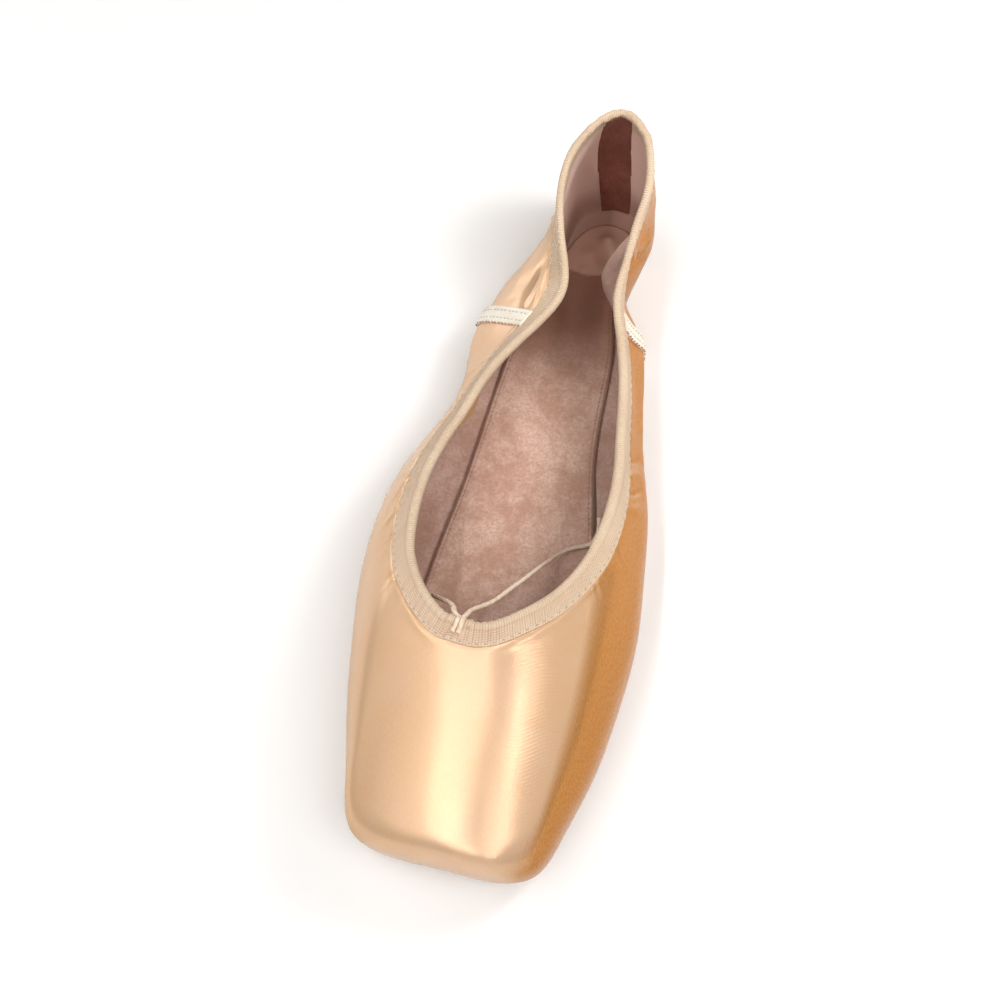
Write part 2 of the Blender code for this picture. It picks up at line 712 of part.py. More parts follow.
def main():
    clear_scene()
    satin = make_material("satin", (0.83, 0.55, 0.34), 0.35)
    leather = make_material("sole_leather", (0.62, 0.48, 0.35), 0.7)
    suede = make_material("suede", (0.38, 0.24, 0.20), 0.9)
    cotton = make_material("cotton_tape", (0.80, 0.62, 0.50), 0.8)
    seam = make_material("seam_tape", (0.85, 0.75, 0.62), 0.7)
    cord = make_material("cord", (0.78, 0.60, 0.48), 0.7)
    last = last_at(stations_round())
    line = last["widest_line"]
    middle = (line.min(axis=0) + line.max(axis=0)) / 2
    shift = (-middle[0], -middle[1], 0)
    pieces = [
        make_outsole(last, leather),
        make_upper(last, satin),
        make_insole(last, suede),
        make_binding(last, cotton),
        make_seam_tape("seam_tape_left", SEAM_OUTER, seam),
        make_seam_tape("seam_tape_right", SEAM_INNER, seam),
    ]
    for piece in pieces:
        piece.data.transform(Matrix.Translation(shift))
    cord_object("drawstring_end_left", ROUTE_OUTER, CORD_DIAMETER, shift, cord)
    cord_object("drawstring_end_right", ROUTE_INNER, CORD_DIAMETER, shift, cord)


main()
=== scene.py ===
"""The looks of a satin pointe shoe: its fabrics, folds, seams and drawstring.

The toe points along -Y and +X is the arch side, as in the frame. Each piece is worked out on
the last's own values, with y from 0 at the toe platform to LENGTH at the heel, and is then
shifted so that it lies on its CAD solid. Lengths are in metres, and tables in millimetres
where they say so. A station runs round the shoe: 0 at the toe, 1 at the heel, 2 at the toe.
"""

import math

import bmesh
import bpy
import numpy as np
from mathutils import Matrix, Vector, noise

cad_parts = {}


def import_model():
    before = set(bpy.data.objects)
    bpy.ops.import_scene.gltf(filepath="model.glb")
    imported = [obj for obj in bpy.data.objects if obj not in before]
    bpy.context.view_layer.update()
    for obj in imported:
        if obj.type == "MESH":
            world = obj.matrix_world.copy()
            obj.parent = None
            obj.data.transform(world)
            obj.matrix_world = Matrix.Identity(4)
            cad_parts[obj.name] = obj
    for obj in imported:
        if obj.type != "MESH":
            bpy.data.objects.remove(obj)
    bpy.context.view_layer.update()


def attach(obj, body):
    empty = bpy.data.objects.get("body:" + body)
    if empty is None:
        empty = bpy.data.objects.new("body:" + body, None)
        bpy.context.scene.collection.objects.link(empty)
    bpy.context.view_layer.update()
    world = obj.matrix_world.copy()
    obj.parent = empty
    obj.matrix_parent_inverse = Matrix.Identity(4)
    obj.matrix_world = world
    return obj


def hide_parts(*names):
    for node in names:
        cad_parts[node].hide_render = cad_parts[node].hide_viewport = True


MM = 0.001

# The last, with the values that the CAD source has

LENGTH = 235 * MM
PLATFORM_WIDTH = 54 * MM
BALL_WIDTH = 86 * MM
HEEL_WIDTH = 44 * MM
PLATFORM_TOP = 31 * MM
THROAT_HEIGHT = 46 * MM
WAIST_HEIGHT = 39 * MM
HEEL_HEIGHT = 58 * MM
WIDEST_HEIGHT = 17 * MM
VAMP_LENGTH = 62.4 * MM
CROWN_RADIUS = 115 * MM
SHOULDER_REACH = 30 * MM
FEATHER_INSET = 8.5 * MM
BOX_WALL = 2.6 * MM
QUARTER_WALL = 1.6 * MM
WALL_THINS_OVER = (0.22, 0.48)
OUTSOLE_THICKNESS = 2.6 * MM
INSOLE_THICKNESS = 2.0 * MM
LASTING_MARGIN = 5.0 * MM
GAP = 0.3 * MM
TOE_SPRING = 3.2 * MM
ARCH_LIFT = 2.6 * MM
HEEL_SPRING = 0.8 * MM
FLAT_UNDER_BALL = (0.16, 0.37)
FLAT_UNDER_HEEL = (0.80, 0.94)
BINDING_OUTSIDE = 5.7 * MM
BINDING_INSIDE = 4.0 * MM
SEAM_TAPE_WIDTH = 6.5 * MM
CORD_DIAMETER = 1.4 * MM

HALF_WIDTHS = {"platform": PLATFORM_WIDTH / 2, "ball": BALL_WIDTH / 2, "heel": HEEL_WIDTH / 2}
HEIGHTS = {
    "platform": PLATFORM_TOP,
    "throat": THROAT_HEIGHT,
    "waist": WAIST_HEIGHT,
    "heel": HEEL_HEIGHT,
}
LAST_COLUMNS = (
    "follows", "along", "outer", "inner", "widest", "shoulder",
    "feather_outer", "feather_inner", "square_outer", "square_inner",
    "flare_outer", "flare_inner",
)
LAST_SECTIONS = (
    ("platform", 0.000, 0.00, 0.00, 0.88, 0.28, 0.55, 0.55, 2.9, 2.9, 0.00, 0.00),
    ("platform", 0.001, 0.66, 0.58, 0.88, 0.29, 0.60, 0.60, 2.9, 2.9, 0.00, 0.00),
    ("platform", 0.020, 1.03, 0.97, 0.90, 0.36, 0.70, 0.70, 2.8, 2.8, 0.00, 0.00),
    ("platform", 0.072, 1.19, 1.16, 0.94, 0.54, 0.80, 0.80, 2.6, 2.6, 0.00, 0.00),
    ("ball", 0.145, 0.865, 0.84, 0.97, 0.80, 0.95, 0.95, 2.4, 2.4, 0.00, 0.00),
    ("ball", 0.234, 0.975, 0.91, 1.00, 1.00, 1.00, 1.00, 2.3, 2.3, 0.00, 0.00),
    ("ball", 0.323, 1.065, 0.935, 1.00, 1.06, 1.00, 1.00, 2.2, 2.2, 0.00, 0.05),
    ("ball", 0.408, 1.08, 0.89, 1.00, 1.06, 0.98, 0.95, 2.2, 2.0, 0.00, 0.15),
    ("ball", 0.485, 1.01, 0.83, 1.01, 1.00, 0.96, 0.88, 2.1, 1.7, 0.05, 0.30),
    ("ball", 0.553, 0.86, 0.73, 1.03, 1.00, 0.95, 0.80, 1.9, 1.5, 0.10, 0.40),
    ("ball", 0.625, 0.755, 0.64, 1.05, 1.00, 1.00, 0.80, 1.7, 1.4, 0.15, 0.45),
    ("ball", 0.702, 0.775, 0.56, 1.06, 1.00, 1.10, 0.80, 1.6, 1.35, 0.15, 0.45),
    ("ball", 0.757, 0.71, 0.45, 1.08, 1.00, 1.00, 0.50, 1.6, 1.35, 0.20, 0.40),
    ("heel", 0.810, 1.17, 0.52, 1.12, 1.00, 0.62, 0.05, 1.6, 1.4, 0.35, 0.40),
    ("heel", 0.860, 0.88, 0.57, 1.20, 1.00, 0.25, 0.05, 1.6, 1.5, 0.50, 0.40),
    ("heel", 0.905, 0.72, 0.71, 1.30, 1.00, 0.15, 0.15, 1.7, 1.7, 0.50, 0.30),
    ("heel", 0.945, 0.67, 0.75, 1.38, 1.00, 0.20, 0.20, 1.8, 1.8, 0.40, 0.20),
    ("heel", 0.977, 0.54, 0.59, 1.44, 1.00, 0.30, 0.30, 1.9, 1.9, 0.20, 0.10),
    ("heel", 0.994, 0.27, 0.32, 1.47, 1.00, 0.40, 0.40, 1.9, 1.9, 0.00, 0.00),
    ("heel", 1.000, -0.02, 0.02, 1.47, 1.00, 0.40, 0.40, 1.9, 1.9, 0.00, 0.00),
)
COLLAR_COLUMNS = ("follows", "along_outer", "outer", "along_inner", "inner")
COLLAR = (
    ("ball", 0.000, 0.06, 0.000, -0.06),
    ("ball", 0.002, 0.17, 0.006, 0.05),
    ("ball", 0.007, 0.27, 0.022, 0.16),
    ("ball", 0.029, 0.40, 0.051, 0.30),
    ("ball", 0.061, 0.52, 0.088, 0.43),
    ("ball", 0.111, 0.635, 0.139, 0.535),
    ("ball", 0.178, 0.70, 0.200, 0.605),
    ("ball", 0.259, 0.71, 0.276, 0.637),
    ("ball", 0.333, 0.66, 0.345, 0.62),
    ("ball", 0.402, 0.577, 0.408, 0.58),
    ("ball", 0.494, 0.46, 0.498, 0.52),
    ("ball", 0.591, 0.21, 0.592, 0.415),
    ("ball", 0.655, 0.09, 0.655, 0.34),
    ("heel", 0.720, 0.29, 0.720, 0.69),
    ("heel", 0.790, 0.45, 0.790, 0.74),
    ("heel", 0.850, 0.49, 0.852, 0.80),
    ("heel", 0.900, 0.41, 0.905, 0.74),
    ("heel", 0.940, 0.23, 0.945, 0.61),
    ("heel", 0.967, 0.05, 0.970, 0.42),
    ("heel", 0.982, -0.195, 0.982, 0.195),
)
SOLE_COLUMNS = ("follows", "along", "outer", "inner")
SOLE_EDGE = (
    ("ball", 0.1220, 0.00, 0.00),
    ("ball", 0.1222, 0.14, 0.13),
    ("ball", 0.1245, 0.28, 0.26),
    ("ball", 0.133, 0.41, 0.385),
    ("ball", 0.158, 0.52, 0.49),
    ("ball", 0.215, 0.635, 0.60),
    ("ball", 0.310, 0.755, 0.69),
    ("ball", 0.400, 0.775, 0.67),
    ("ball", 0.480, 0.70, 0.58),
    ("ball", 0.553, 0.585, 0.48),
    ("ball", 0.625, 0.505, 0.40),
    ("ball", 0.702, 0.475, 0.34),
    ("ball", 0.757, 0.46, 0.30),
    ("heel", 0.810, 0.85, 0.51),
    ("heel", 0.860, 0.76, 0.54),
    ("heel", 0.905, 0.68, 0.63),
    ("heel", 0.935, 0.56, 0.58),
    ("heel", 0.958, 0.40, 0.43),
    ("heel", 0.969, 0.20, 0.22),
    ("heel", 0.972, 0.00, 0.00),
)
INSOLE_EDGE = (
    ("ball", 0.0400, 0.00, 0.00),
    ("ball", 0.0402, 0.13, 0.12),
    ("ball", 0.043, 0.26, 0.24),
    ("ball", 0.056, 0.41, 0.38),
    ("ball", 0.100, 0.53, 0.49),
    ("ball", 0.190, 0.62, 0.55),
    ("ball", 0.300, 0.68, 0.56),
    ("ball", 0.400, 0.665, 0.51),
    ("ball", 0.480, 0.61, 0.43),
    ("ball", 0.553, 0.575, 0.35),
    ("ball", 0.625, 0.555, 0.31),
    ("ball", 0.702, 0.535, 0.29),
    ("ball", 0.757, 0.50, 0.26),
    ("heel", 0.810, 0.83, 0.40),
    ("heel", 0.860, 0.70, 0.45),
    ("heel", 0.895, 0.60, 0.54),
    ("heel", 0.925, 0.48, 0.50),
    ("heel", 0.945, 0.33, 0.36),
    ("heel", 0.954, 0.16, 0.18),
    ("heel", 0.957, 0.00, 0.00),
)
TOP_COLUMNS = ("follows", "along", "height")
TOP_LINE = (
    ("platform", 0.000, 1.00),
    ("platform", 0.050, 1.12),
    ("throat", 0.130, 0.86),
    ("throat", 0.255, 1.00),
    ("throat", 0.340, 0.995),
    ("throat", 0.430, 0.95),
    ("waist", 0.530, 1.05),
    ("waist", 0.640, 1.00),
    ("waist", 0.735, 1.04),
    ("heel", 0.820, 0.80),
    ("heel", 0.900, 0.92),
    ("heel", 0.970, 0.99),
    ("heel", 1.000, 1.00),
)

# The side seams' stations, at the widest line and at the collar
SEAM_OUTER = (0.675, 0.64)
SEAM_INNER = (1.325, 1.33)

# The drawstring's two ends, in millimetres in the last's own frame
ROUTE_OUTER = (
    (-8.9, 65.7, 43.7),
    (-10.4, 68.1, 41.4),
    (-12.5, 69.5, 39.5),
    (-15.4, 70.8, 36.5),
    (-18.2, 72.2, 33.2),
    (-20.8, 73.2, 29.8),
    (-23.6, 73.8, 25.6),
    (-26.0, 73.8, 20.8),
    (-27.8, 73.0, 15.8),
    (-28.2, 71.2, 11.4),
    (-27.2, 68.2, 8.5),
    (-25.4, 64.8, 7.9),
    (-23.2, 61.4, 7.8),
    (-20.8, 58.2, 7.8),
)
ROUTE_INNER = (
    (-6.1, 65.1, 43.8),
    (-5.3, 67.8, 41.4),
    (-4.2, 69.5, 39.5),
    (-1.7, 72.8, 35.5),
    (1.5, 79.2, 29.8),
    (4.7, 86.1, 23.8),
    (6.9, 91.5, 18.8),
    (8.9, 96.3, 13.8),
    (10.8, 100.0, 10.4),
    (13.2, 102.6, 8.9),
    (16.0, 104.0, 8.7),
    (18.6, 105.2, 8.7),
    (20.2, 107.6, 8.8),
    (20.6, 111.0, 9.0),
    (20.0, 114.4, 9.3),
)

# How finely each piece is drawn

SATIN_COLUMNS = 720
SATIN_ROWS = {"margin": 8, "edge": 14, "wall": 74}
LINING_COLUMNS = 420
LINING_ROWS = {"margin": 5, "edge": 10, "wall": 40}
BINDING_COLUMNS = 1100
OUTSIDE_ROWS = 40
RIM_ROWS = 13
INSIDE_ROWS = 7
BACK_ROWS = 10
TAPE_COLUMNS = 33
FLAT_COLUMNS = 640
FLAT_ROWS = 61
FINE_STATIONS = 4000
NUDGE = 1e-4  # the step in stations that directions on the last are taken over
SHARP_ANGLE = math.radians(60)

# Fabric thicknesses
SATIN_THICKNESS = 0.5 * MM
LINING_THICKNESS = 0.5 * MM

# How far the satin sinks under the binding, and how far the binding stands off both skins
SATIN_TUCK = 0.25 * MM
BINDING_OFF_SATIN = 0.40 * MM
BINDING_OFF_LINING = 0.22 * MM

# The binding is fuller in front, up to these shares of the length, and its tape wider at the sides
FULLER_IN_FRONT = 0.6 * MM
FULLER_OVER = (0.60, 0.80)
TAPE_AT_THROAT = 5.6 * MM
TAPE_AT_SIDES = 6.6 * MM

# The binding's relief: its rolled rim, the crease below that, ribs, puckers, and a frayed back
ROLL_HEIGHT = 0.12 * MM
CREASE_AT = 1.15 * MM
CREASE_DEPTH = 0.12 * MM
RIB_PITCH = 0.68 * MM
RIB_DEPTH = 0.10 * MM
PUCKER_PITCH = 3.1 * MM
PUCKER_HEIGHT = 0.06 * MM
FRAY_HEIGHT = 0.45 * MM

# Folds in the satin, in millimetres: a height (below zero for a trough), half its width, and its
# line on the skin from end to end in the last's own frame
FOLDS = (
    (1.70, 1.5, ((-11.9, 168.5, 35.6), (-10.9, 176.5, 36.3), (-9.8, 182.0, 37.6), (-7.0, 187.0, 43.0))),
    (-1.50, 2.4, ((-15.2, 168.0, 33.4), (-15.0, 178.5, 33.2), (-13.6, 186.0, 34.0), (-11.4, 194.0, 38.0))),
    (-0.90, 1.5, ((-8.6, 172.0, 38.6), (-7.0, 178.0, 39.4), (-6.2, 183.0, 41.5))),
    (1.40, 3.4, ((-21.0, 176.0, 26.0), (-17.6, 189.0, 25.0), (-14.0, 203.0, 24.0))),
    (-1.10, 2.6, ((-26.0, 174.0, 19.0), (-21.0, 188.0, 15.0), (-16.0, 201.0, 13.0))),
    (0.80, 2.0, ((-12.6, 196.0, 44.0), (-13.6, 204.0, 35.0), (-14.4, 213.0, 26.0))),
    (2.20, 2.2, ((14.4, 187.0, 42.0), (14.6, 198.0, 30.0), (15.2, 208.5, 21.0), (16.4, 219.5, 14.0))),
    (-1.60, 1.9, ((13.2, 190.0, 35.0), (13.0, 202.8, 20.0), (14.6, 212.3, 10.0))),
    (1.20, 1.2, ((13.4, 194.0, 38.0), (14.4, 203.0, 34.0), (15.8, 212.0, 32.0))),
    (-0.80, 1.2, ((13.8, 198.0, 41.5), (15.2, 207.0, 38.5), (16.6, 215.0, 38.0))),
    (1.30, 3.0, ((22.6, 144.0, 35.0), (24.6, 135.0, 34.0), (28.0, 124.0, 32.0))),
    (-1.10, 1.3, ((24.5, 122.5, 39.0), (28.3, 126.0, 31.0), (30.6, 131.5, 21.0))),
    (0.90, 1.6, ((26.2, 118.5, 37.5), (30.0, 122.5, 29.0), (32.0, 127.5, 20.0))),
    (-0.80, 1.2, ((27.8, 113.0, 36.5), (31.2, 117.0, 28.5), (33.0, 121.5, 21.0))),
    (0.70, 1.5, ((29.4, 108.5, 35.0), (32.4, 112.0, 28.0), (34.2, 116.0, 22.5))),
    (0.90, 1.3, ((-30.6, 146.6, 24.0), (-27.6, 149.5, 27.0), (-23.6, 150.5, 32.0))),
    (-0.80, 1.4, ((-31.0, 141.0, 24.0), (-27.0, 144.0, 29.5), (-23.0, 145.0, 34.5))),
    (0.80, 1.2, ((-32.0, 134.0, 24.0), (-28.4, 136.5, 30.0), (-24.6, 137.0, 35.5))),
    (-0.60, 1.4, ((-33.0, 126.0, 26.0), (-29.6, 128.5, 32.0), (-27.0, 128.5, 36.0))),
    (0.70, 1.2, ((-28.8, 119.6, 37.6), (-32.7, 114.3, 35.6), (-36.0, 109.0, 31.0))),
    (0.70, 1.2, ((-33.2, 108.4, 36.8), (-36.5, 102.6, 35.0), (-39.4, 97.5, 31.0))),
    (0.60, 1.2, ((-33.0, 98.6, 38.6), (-36.6, 93.0, 36.1), (-39.6, 88.0, 32.0))),
)

# Soft folds in the lining, in the same terms
LINING_FOLDS = (
    (5.2, 6.5, ((12.5, 172.0, 36.0), (11.0, 184.0, 29.0), (11.0, 196.0, 25.0), (12.0, 212.0, 24.0))),
    (0.7, 2.6, ((-13.5, 196.0, 46.0), (-12.0, 199.0, 28.0), (-10.5, 203.0, 10.0))),
    (-0.5, 2.0, ((-13.0, 205.0, 50.0), (-12.0, 208.0, 30.0), (-10.0, 211.0, 10.0))),
    (0.9, 3.0, ((10.5, 186.0, 40.0), (8.5, 191.0, 26.0), (8.0, 196.0, 10.0))),
    (-0.6, 2.0, ((11.0, 196.0, 44.0), (9.5, 200.0, 26.0), (9.0, 204.0, 10.0))),
    (0.6, 2.4, ((-22.0, 150.0, 34.0), (-25.0, 152.0, 20.0), (-24.0, 152.0, 8.0))),
    (-0.5, 2.4, ((-30.0, 124.0, 34.0), (-33.0, 122.0, 20.0), (-30.0, 120.0, 8.0))),
    (0.6, 2.6, ((22.0, 140.0, 34.0), (22.0, 144.0, 20.0), (20.0, 146.0, 8.0))),
)

# Little gathers in the satin beside the binding, in millimetres: the side, where they begin and
# end from the toe, their pitch and height, and how far they reach from the binding
GATHERS = (
    ("outer", 70.0, 162.0, 4.4, 0.55, 4.0),
    ("inner", 84.0, 152.0, 4.8, 0.50, 4.5),
    ("outer", 184.0, 228.0, 4.0, 0.30, 4.5),
    ("inner", 186.0, 228.0, 3.8, 0.45, 5.5),
)

# Pleats where the satin is drawn under the toe: the share of each that rises slowly, where they
# fade out along the shoe, and how far up they reach
PLEAT_PITCH = 3.4 * MM
PLEAT_HEIGHT = 0.55 * MM
PLEAT_LEAN = 0.78
PLEATS_FADE = (38 * MM, 62 * MM)
PLEATS_REACH = 6.5 * MM

# The slit in the binding that the drawstring comes out of, in the last's own frame, the lumps on
# both its sides, and how the tape is bunched beside it
SLIT_X = -6.6 * MM
SLIT_WIDTH = 1.5 * MM
SLIT_DEPTH = 0.6 * MM
LUMPS_AT = 2.8 * MM
LUMP_HEIGHT = 0.40 * MM
GATHERED_OVER = 15 * MM
BUNCH_PITCH = 1.9 * MM
BUNCH_HEIGHT = 0.14 * MM

# Stitches: their pitch, and their length, width and height
BINDING_STITCH_PITCH = 2.5 * MM
BINDING_STITCH = (1.05 * MM, 0.42 * MM, 0.12 * MM)
SEAM_STITCH_PITCH = 2.0 * MM
SEAM_STITCH = (1.15 * MM, 0.40 * MM, 0.22 * MM)
OVERCAST_PITCH = 1.9 * MM
OVERCAST = (1.35 * MM, 0.50 * MM, 0.30 * MM)

# Where the seam tape's two rows of stitches lie, as a share of its half width
SEAM_STITCHES_AT = 0.42

# The leather strip over the back seam, and the station of the heel's middle
HEEL_STRIP_WIDTH = 12.4 * MM
HEEL_STRIP_THICKNESS = 0.35 * MM
HEEL_STATION = 1.0

# The sock's heel end, its step down to the seat, and the stitched line inside its edge
SOCK_END = 203 * MM
SOCK_STEP = 0.3 * MM
SOCK_LINE = 1.5 * MM
SOCK_STITCH_PITCH = 1.7 * MM

# Lumps in the heel seat, in millimetres: their middles in plan, half widths and heights
SEAT_LUMPS = (
    (1.0, 216.5, 3.2, 3.2),
    (-4.4, 211.0, 3.2, 1.8),
    (5.0, 212.5, 2.6, 1.5),
    (-1.0, 206.8, 2.2, 1.0),
    (-5.0, 205.0, 1.6, 0.8),
    (3.8, 206.0, 1.8, 0.9),
)

# The outsole's stitched channel, in from its edge
CHANNEL_INSET = 3.6 * MM
CHANNEL_DEPTH = 0.35 * MM

# The cord's rings and the turn of its braid
CORD_STEP = 0.25 * MM
BRAID_PITCH = 3.2 * MM

# The fine weave that the materials draw: the satin's twill and the binding's ribs
TWILL_PITCH = 0.60 * MM
TWILL_TURN = math.radians(38)
WOVEN_RIB_PITCH = 0.75 * MM

# The camera, at the photograph's angle to the shoe
CAMERA_PLACE = (67.2 * MM, -136.3 * MM, 360.7 * MM)
CAMERA_TARGET = (-6.3 * MM, -8.0 * MM, 22.0 * MM)
CAMERA_ROLL = math.radians(-17.1)
CAMERA_LENS = 43.2
SENSOR_WIDTH = 36

FLOOR_SIZE = 6.0

# Area lights: a name, what each shines at, where from and how far off, which way its length lies,
# its width and length, its watts, and whether the gloss shows it
VAMP = (0.0, -0.07, 0.04)
LIGHTS = (
    ("left_strip", VAMP, (-0.19, -0.32, 0.92), 1.1, (0.14, -0.55, -0.26), (0.055, 2.2), 6.4, True),
    ("left_wide", VAMP, (-0.40, -0.32, 0.88), 1.1, (0.14, -0.51, -0.13), (0.32, 1.4), 1.6, True),
    ("right_strip", VAMP, (0.135, -0.42, 0.87), 1.1, (0.05, -0.60, -0.40), (0.025, 2.2), 3.3, True),
    ("left_card", (0.0, 0.05, 0.03), (-0.88, 0.42, 0.25), 1.0, (0, 0, 1), (0.5, 0.5), 2.3, True),
    ("heel_fill", (0.0, 0.10, 0.05), (0.68, 0.0, 0.73), 0.3, (0, 1, 0), (0.1, 0.1), 0.55, False),
)
SUN_FROM = (0.50, -0.05, 0.86)
SUN_STRENGTH = 1.0
SUN_ANGLE = math.radians(30)
WORLD_STRENGTH = 0.12


def column(table, names, name):
    """The values under one heading of a table."""
    return [row[names.index(name)] for row in table]


def spline(knots, values, at, closed=False):
    """A smooth curve through values, read at the places in at. A closed one ends where it starts."""
    count = len(knots)
    step = np.diff(knots)[:, None]
    slope = np.diff(values, axis=0) / step
    system = np.zeros((count, count))
    wanted = np.zeros_like(values)
    for i in range(1, count - 1):
        system[i, i - 1] = step[i, 0]
        system[i, i] = 2 * (step[i - 1, 0] + step[i, 0])
        system[i, i + 1] = step[i - 1, 0]
        wanted[i] = 3 * (step[i] * slope[i - 1] + step[i - 1] * slope[i])
    if closed:
        system[0, 0] = 2 * (step[0, 0] + step[-1, 0])
        system[0, 1] = step[-1, 0]
        system[0, count - 2] = step[0, 0]
        wanted[0] = 3 * (step[0] * slope[-1] + step[-1] * slope[0])
        system[-1, -1] = 1
        system[-1, 0] = -1
    else:
        system[0, :2] = (2, 1)
        wanted[0] = 3 * slope[0]
        system[-1, -2:] = (1, 2)
        wanted[-1] = 3 * slope[-1]
    tangent = np.linalg.solve(system, wanted)
    i = np.clip(np.searchsorted(knots, at, side="right") - 1, 0, count - 2)
    h = step[i]
    u = (np.asarray(at)[:, None] - np.asarray(knots)[i][:, None]) / h
    return (
        values[i] * (1 + 2 * u) * (1 - u) ** 2
        + values[i + 1] * u * u * (3 - 2 * u)
        + h * tangent[i] * u * (1 - u) ** 2
        + h * tangent[i + 1] * u * u * (u - 1)
    )


def smooth_step(low, high, value):
    """0 up to low, 1 from high on, and a soft rise between them."""
    share = np.clip((value - low) / (high - low), 0, 1)
    return share * share * (3 - 2 * share)


def bell(value, middle, width):
    """1 at the middle, and less away from it on both sides, with 1/e at width."""
    return np.exp(-(((value - middle) / width) ** 2))


def unit(vectors):
    return vectors / np.linalg.norm(vectors, axis=-1, keepdims=True)


def run(points, closed=False):
    """How far each point lies along a line. A closed line gives its whole length as one more."""
    if closed:
        points = np.concatenate([points, points[:1]])
    return np.concatenate([[0], np.cumsum(np.linalg.norm(np.diff(points, axis=0), axis=1))])


def both_sides(outer, inner):
    """Values round the shoe: down the outer side from toe to heel, and back up the inner side."""
    return np.array(list(outer) + list(inner[-2::-1]))


def side_x(table, names):
    """A line's distances from the middle, as shares of the half width that each row follows."""
    half = [HALF_WIDTHS[name] for name in column(table, names, "follows")]
    outer = [-h * share for h, share in zip(half, column(table, names, "outer"))]
    inner = [h * share for h, share in zip(half, column(table, names, "inner"))]
    return both_sides(outer, inner)


def last_values():
    """Every value that the tables give round the shoe, one row for each station."""
    lines = []
    for table, names, places, start in (
        (LAST_SECTIONS, LAST_COLUMNS, ("along", "along"), 0),
        (COLLAR, COLLAR_COLUMNS, ("along_outer", "along_inner"), VAMP_LENGTH),
        (SOLE_EDGE, SOLE_COLUMNS, ("along", "along"), 0),
        (INSOLE_EDGE, SOLE_COLUMNS, ("along", "along"), 0),
    ):
        shares = [np.array(column(table, names, place)) for place in places]
        lines.append(side_x(table, names))
        lines.append(both_sides(*(start + (LENGTH - start) * share for share in shares)))
    for outer, inner, size in (
        ("widest", "widest", WIDEST_HEIGHT),
        ("shoulder", "shoulder", SHOULDER_REACH),
        ("feather_outer", "feather_inner", FEATHER_INSET),
        ("square_outer", "square_inner", 1),
        ("flare_outer", "flare_inner", 1),
    ):
        pair = [column(LAST_SECTIONS, LAST_COLUMNS, name) for name in (outer, inner)]
        lines.append(size * both_sides(*pair))
    return np.column_stack(lines)


def station_knots(values):
    """The stations' places on a scale from 0 at the toe to 1 at the heel and 2 at the toe again."""
    half = len(values) // 2
    steps = np.hypot(*np.diff(values[:, :2], axis=0).T)
    even = np.sqrt((steps[:half] + steps[half:][::-1]) / 2)
    side = np.concatenate([[0], np.cumsum(even)]) / even.sum()
    return np.concatenate([side, 2 - side[-2::-1]])


def turned(steps):
    """Unit vectors in plan, square to steps round the shoe and pointing into it."""
    return unit(np.column_stack([steps[:, 1], -steps[:, 0]]))


def last_at(stations):
    """The last's values at any stations from 0 to 2: a dictionary of arrays."""
    values = last_values()
    knots = station_knots(values)
    found = spline(knots, values, np.mod(stations, 2), closed=True)
    ahead = spline(knots, values, np.mod(stations + NUDGE, 2), closed=True) - found
    names = ("widest", "shoulder", "feather", "square", "flare")
    return {
        "stations": stations,
        "widest_line": found[:, 0:2],
        "widest_inward": turned(ahead[:, 0:2]),
        "collar": found[:, 2:4],
        "sole": found[:, 4:6],
        "sole_inward": turned(ahead[:, 4:6]),
        "insole": found[:, 6:8],
        **dict(zip(names, found[:, 8:].T)),
    }


def stations_along(line, count):
    """Stations that step evenly along one of the last's lines."""
    fine = np.linspace(0, 2, FINE_STATIONS, endpoint=False)
    along = run(last_at(fine)[line], closed=True)
    return np.interp(np.linspace(0, along[-1], count, endpoint=False), along, np.append(fine, 2))


def top_height(x, y):
    """The last's top as a field over the plan: its top line, crowned from side to side."""
    share = column(TOP_LINE, TOP_COLUMNS, "height")
    size = [HEIGHTS[name] for name in column(TOP_LINE, TOP_COLUMNS, "follows")]
    knots = np.array([LENGTH * along for along in column(TOP_LINE, TOP_COLUMNS, "along")])
    heights = np.array([[h * s] for h, s in zip(size, share)])
    line = spline(knots, heights, np.clip(y.ravel(), 0, LENGTH))[:, 0].reshape(y.shape)
    return line - x * x / (2 * CROWN_RADIUS)


def floor_lift(y):
    """How far the sole's underside stands off the floor."""
    ball_front, ball_back = (LENGTH * share for share in FLAT_UNDER_BALL)
    heel_front, heel_back = (LENGTH * share for share in FLAT_UNDER_HEEL)
    toe = np.clip(1 - y / ball_front, 0, 1) ** 2
    arch = np.sin(math.pi * np.clip((y - ball_back) / (heel_front - ball_back), 0, 1)) ** 2
    heel = np.clip((y - heel_back) / (LENGTH - heel_back), 0, 1) ** 2
    return TOE_SPRING * toe + ARCH_LIFT * arch + HEEL_SPRING * heel


def underside(y):
    """The height of the upper's turned-in margin, from below."""
    return floor_lift(y) + OUTSOLE_THICKNESS + GAP


def roundness(share, square):
    """A superellipse's rise: from 0 at share 0, straight up, to a level 1 at share 1."""
    return (1 - (1 - np.clip(share, 0, 1)) ** square) ** (1 / square)


def wall_points(last, shares):
    """Points on the outer wall between the widest line (share 0) and the collar (share 1)."""
    start = last["widest_line"][None]
    reach = last["collar"][None] - start
    plan = start + reach * shares[..., None]
    distance = np.linalg.norm(plan - start, axis=2)
    whole = np.linalg.norm(reach, axis=2)
    square = last["square"][None]
    rise = roundness(distance / last["shoulder"], square)
    rise /= roundness(whole / last["shoulder"], square)
    rise += last["flare"] * ((distance / whole) ** 3 - rise)
    top = top_height(plan[..., 0], plan[..., 1])
    height = last["widest"] + (top - last["widest"]) * rise
    return np.dstack([plan, height])


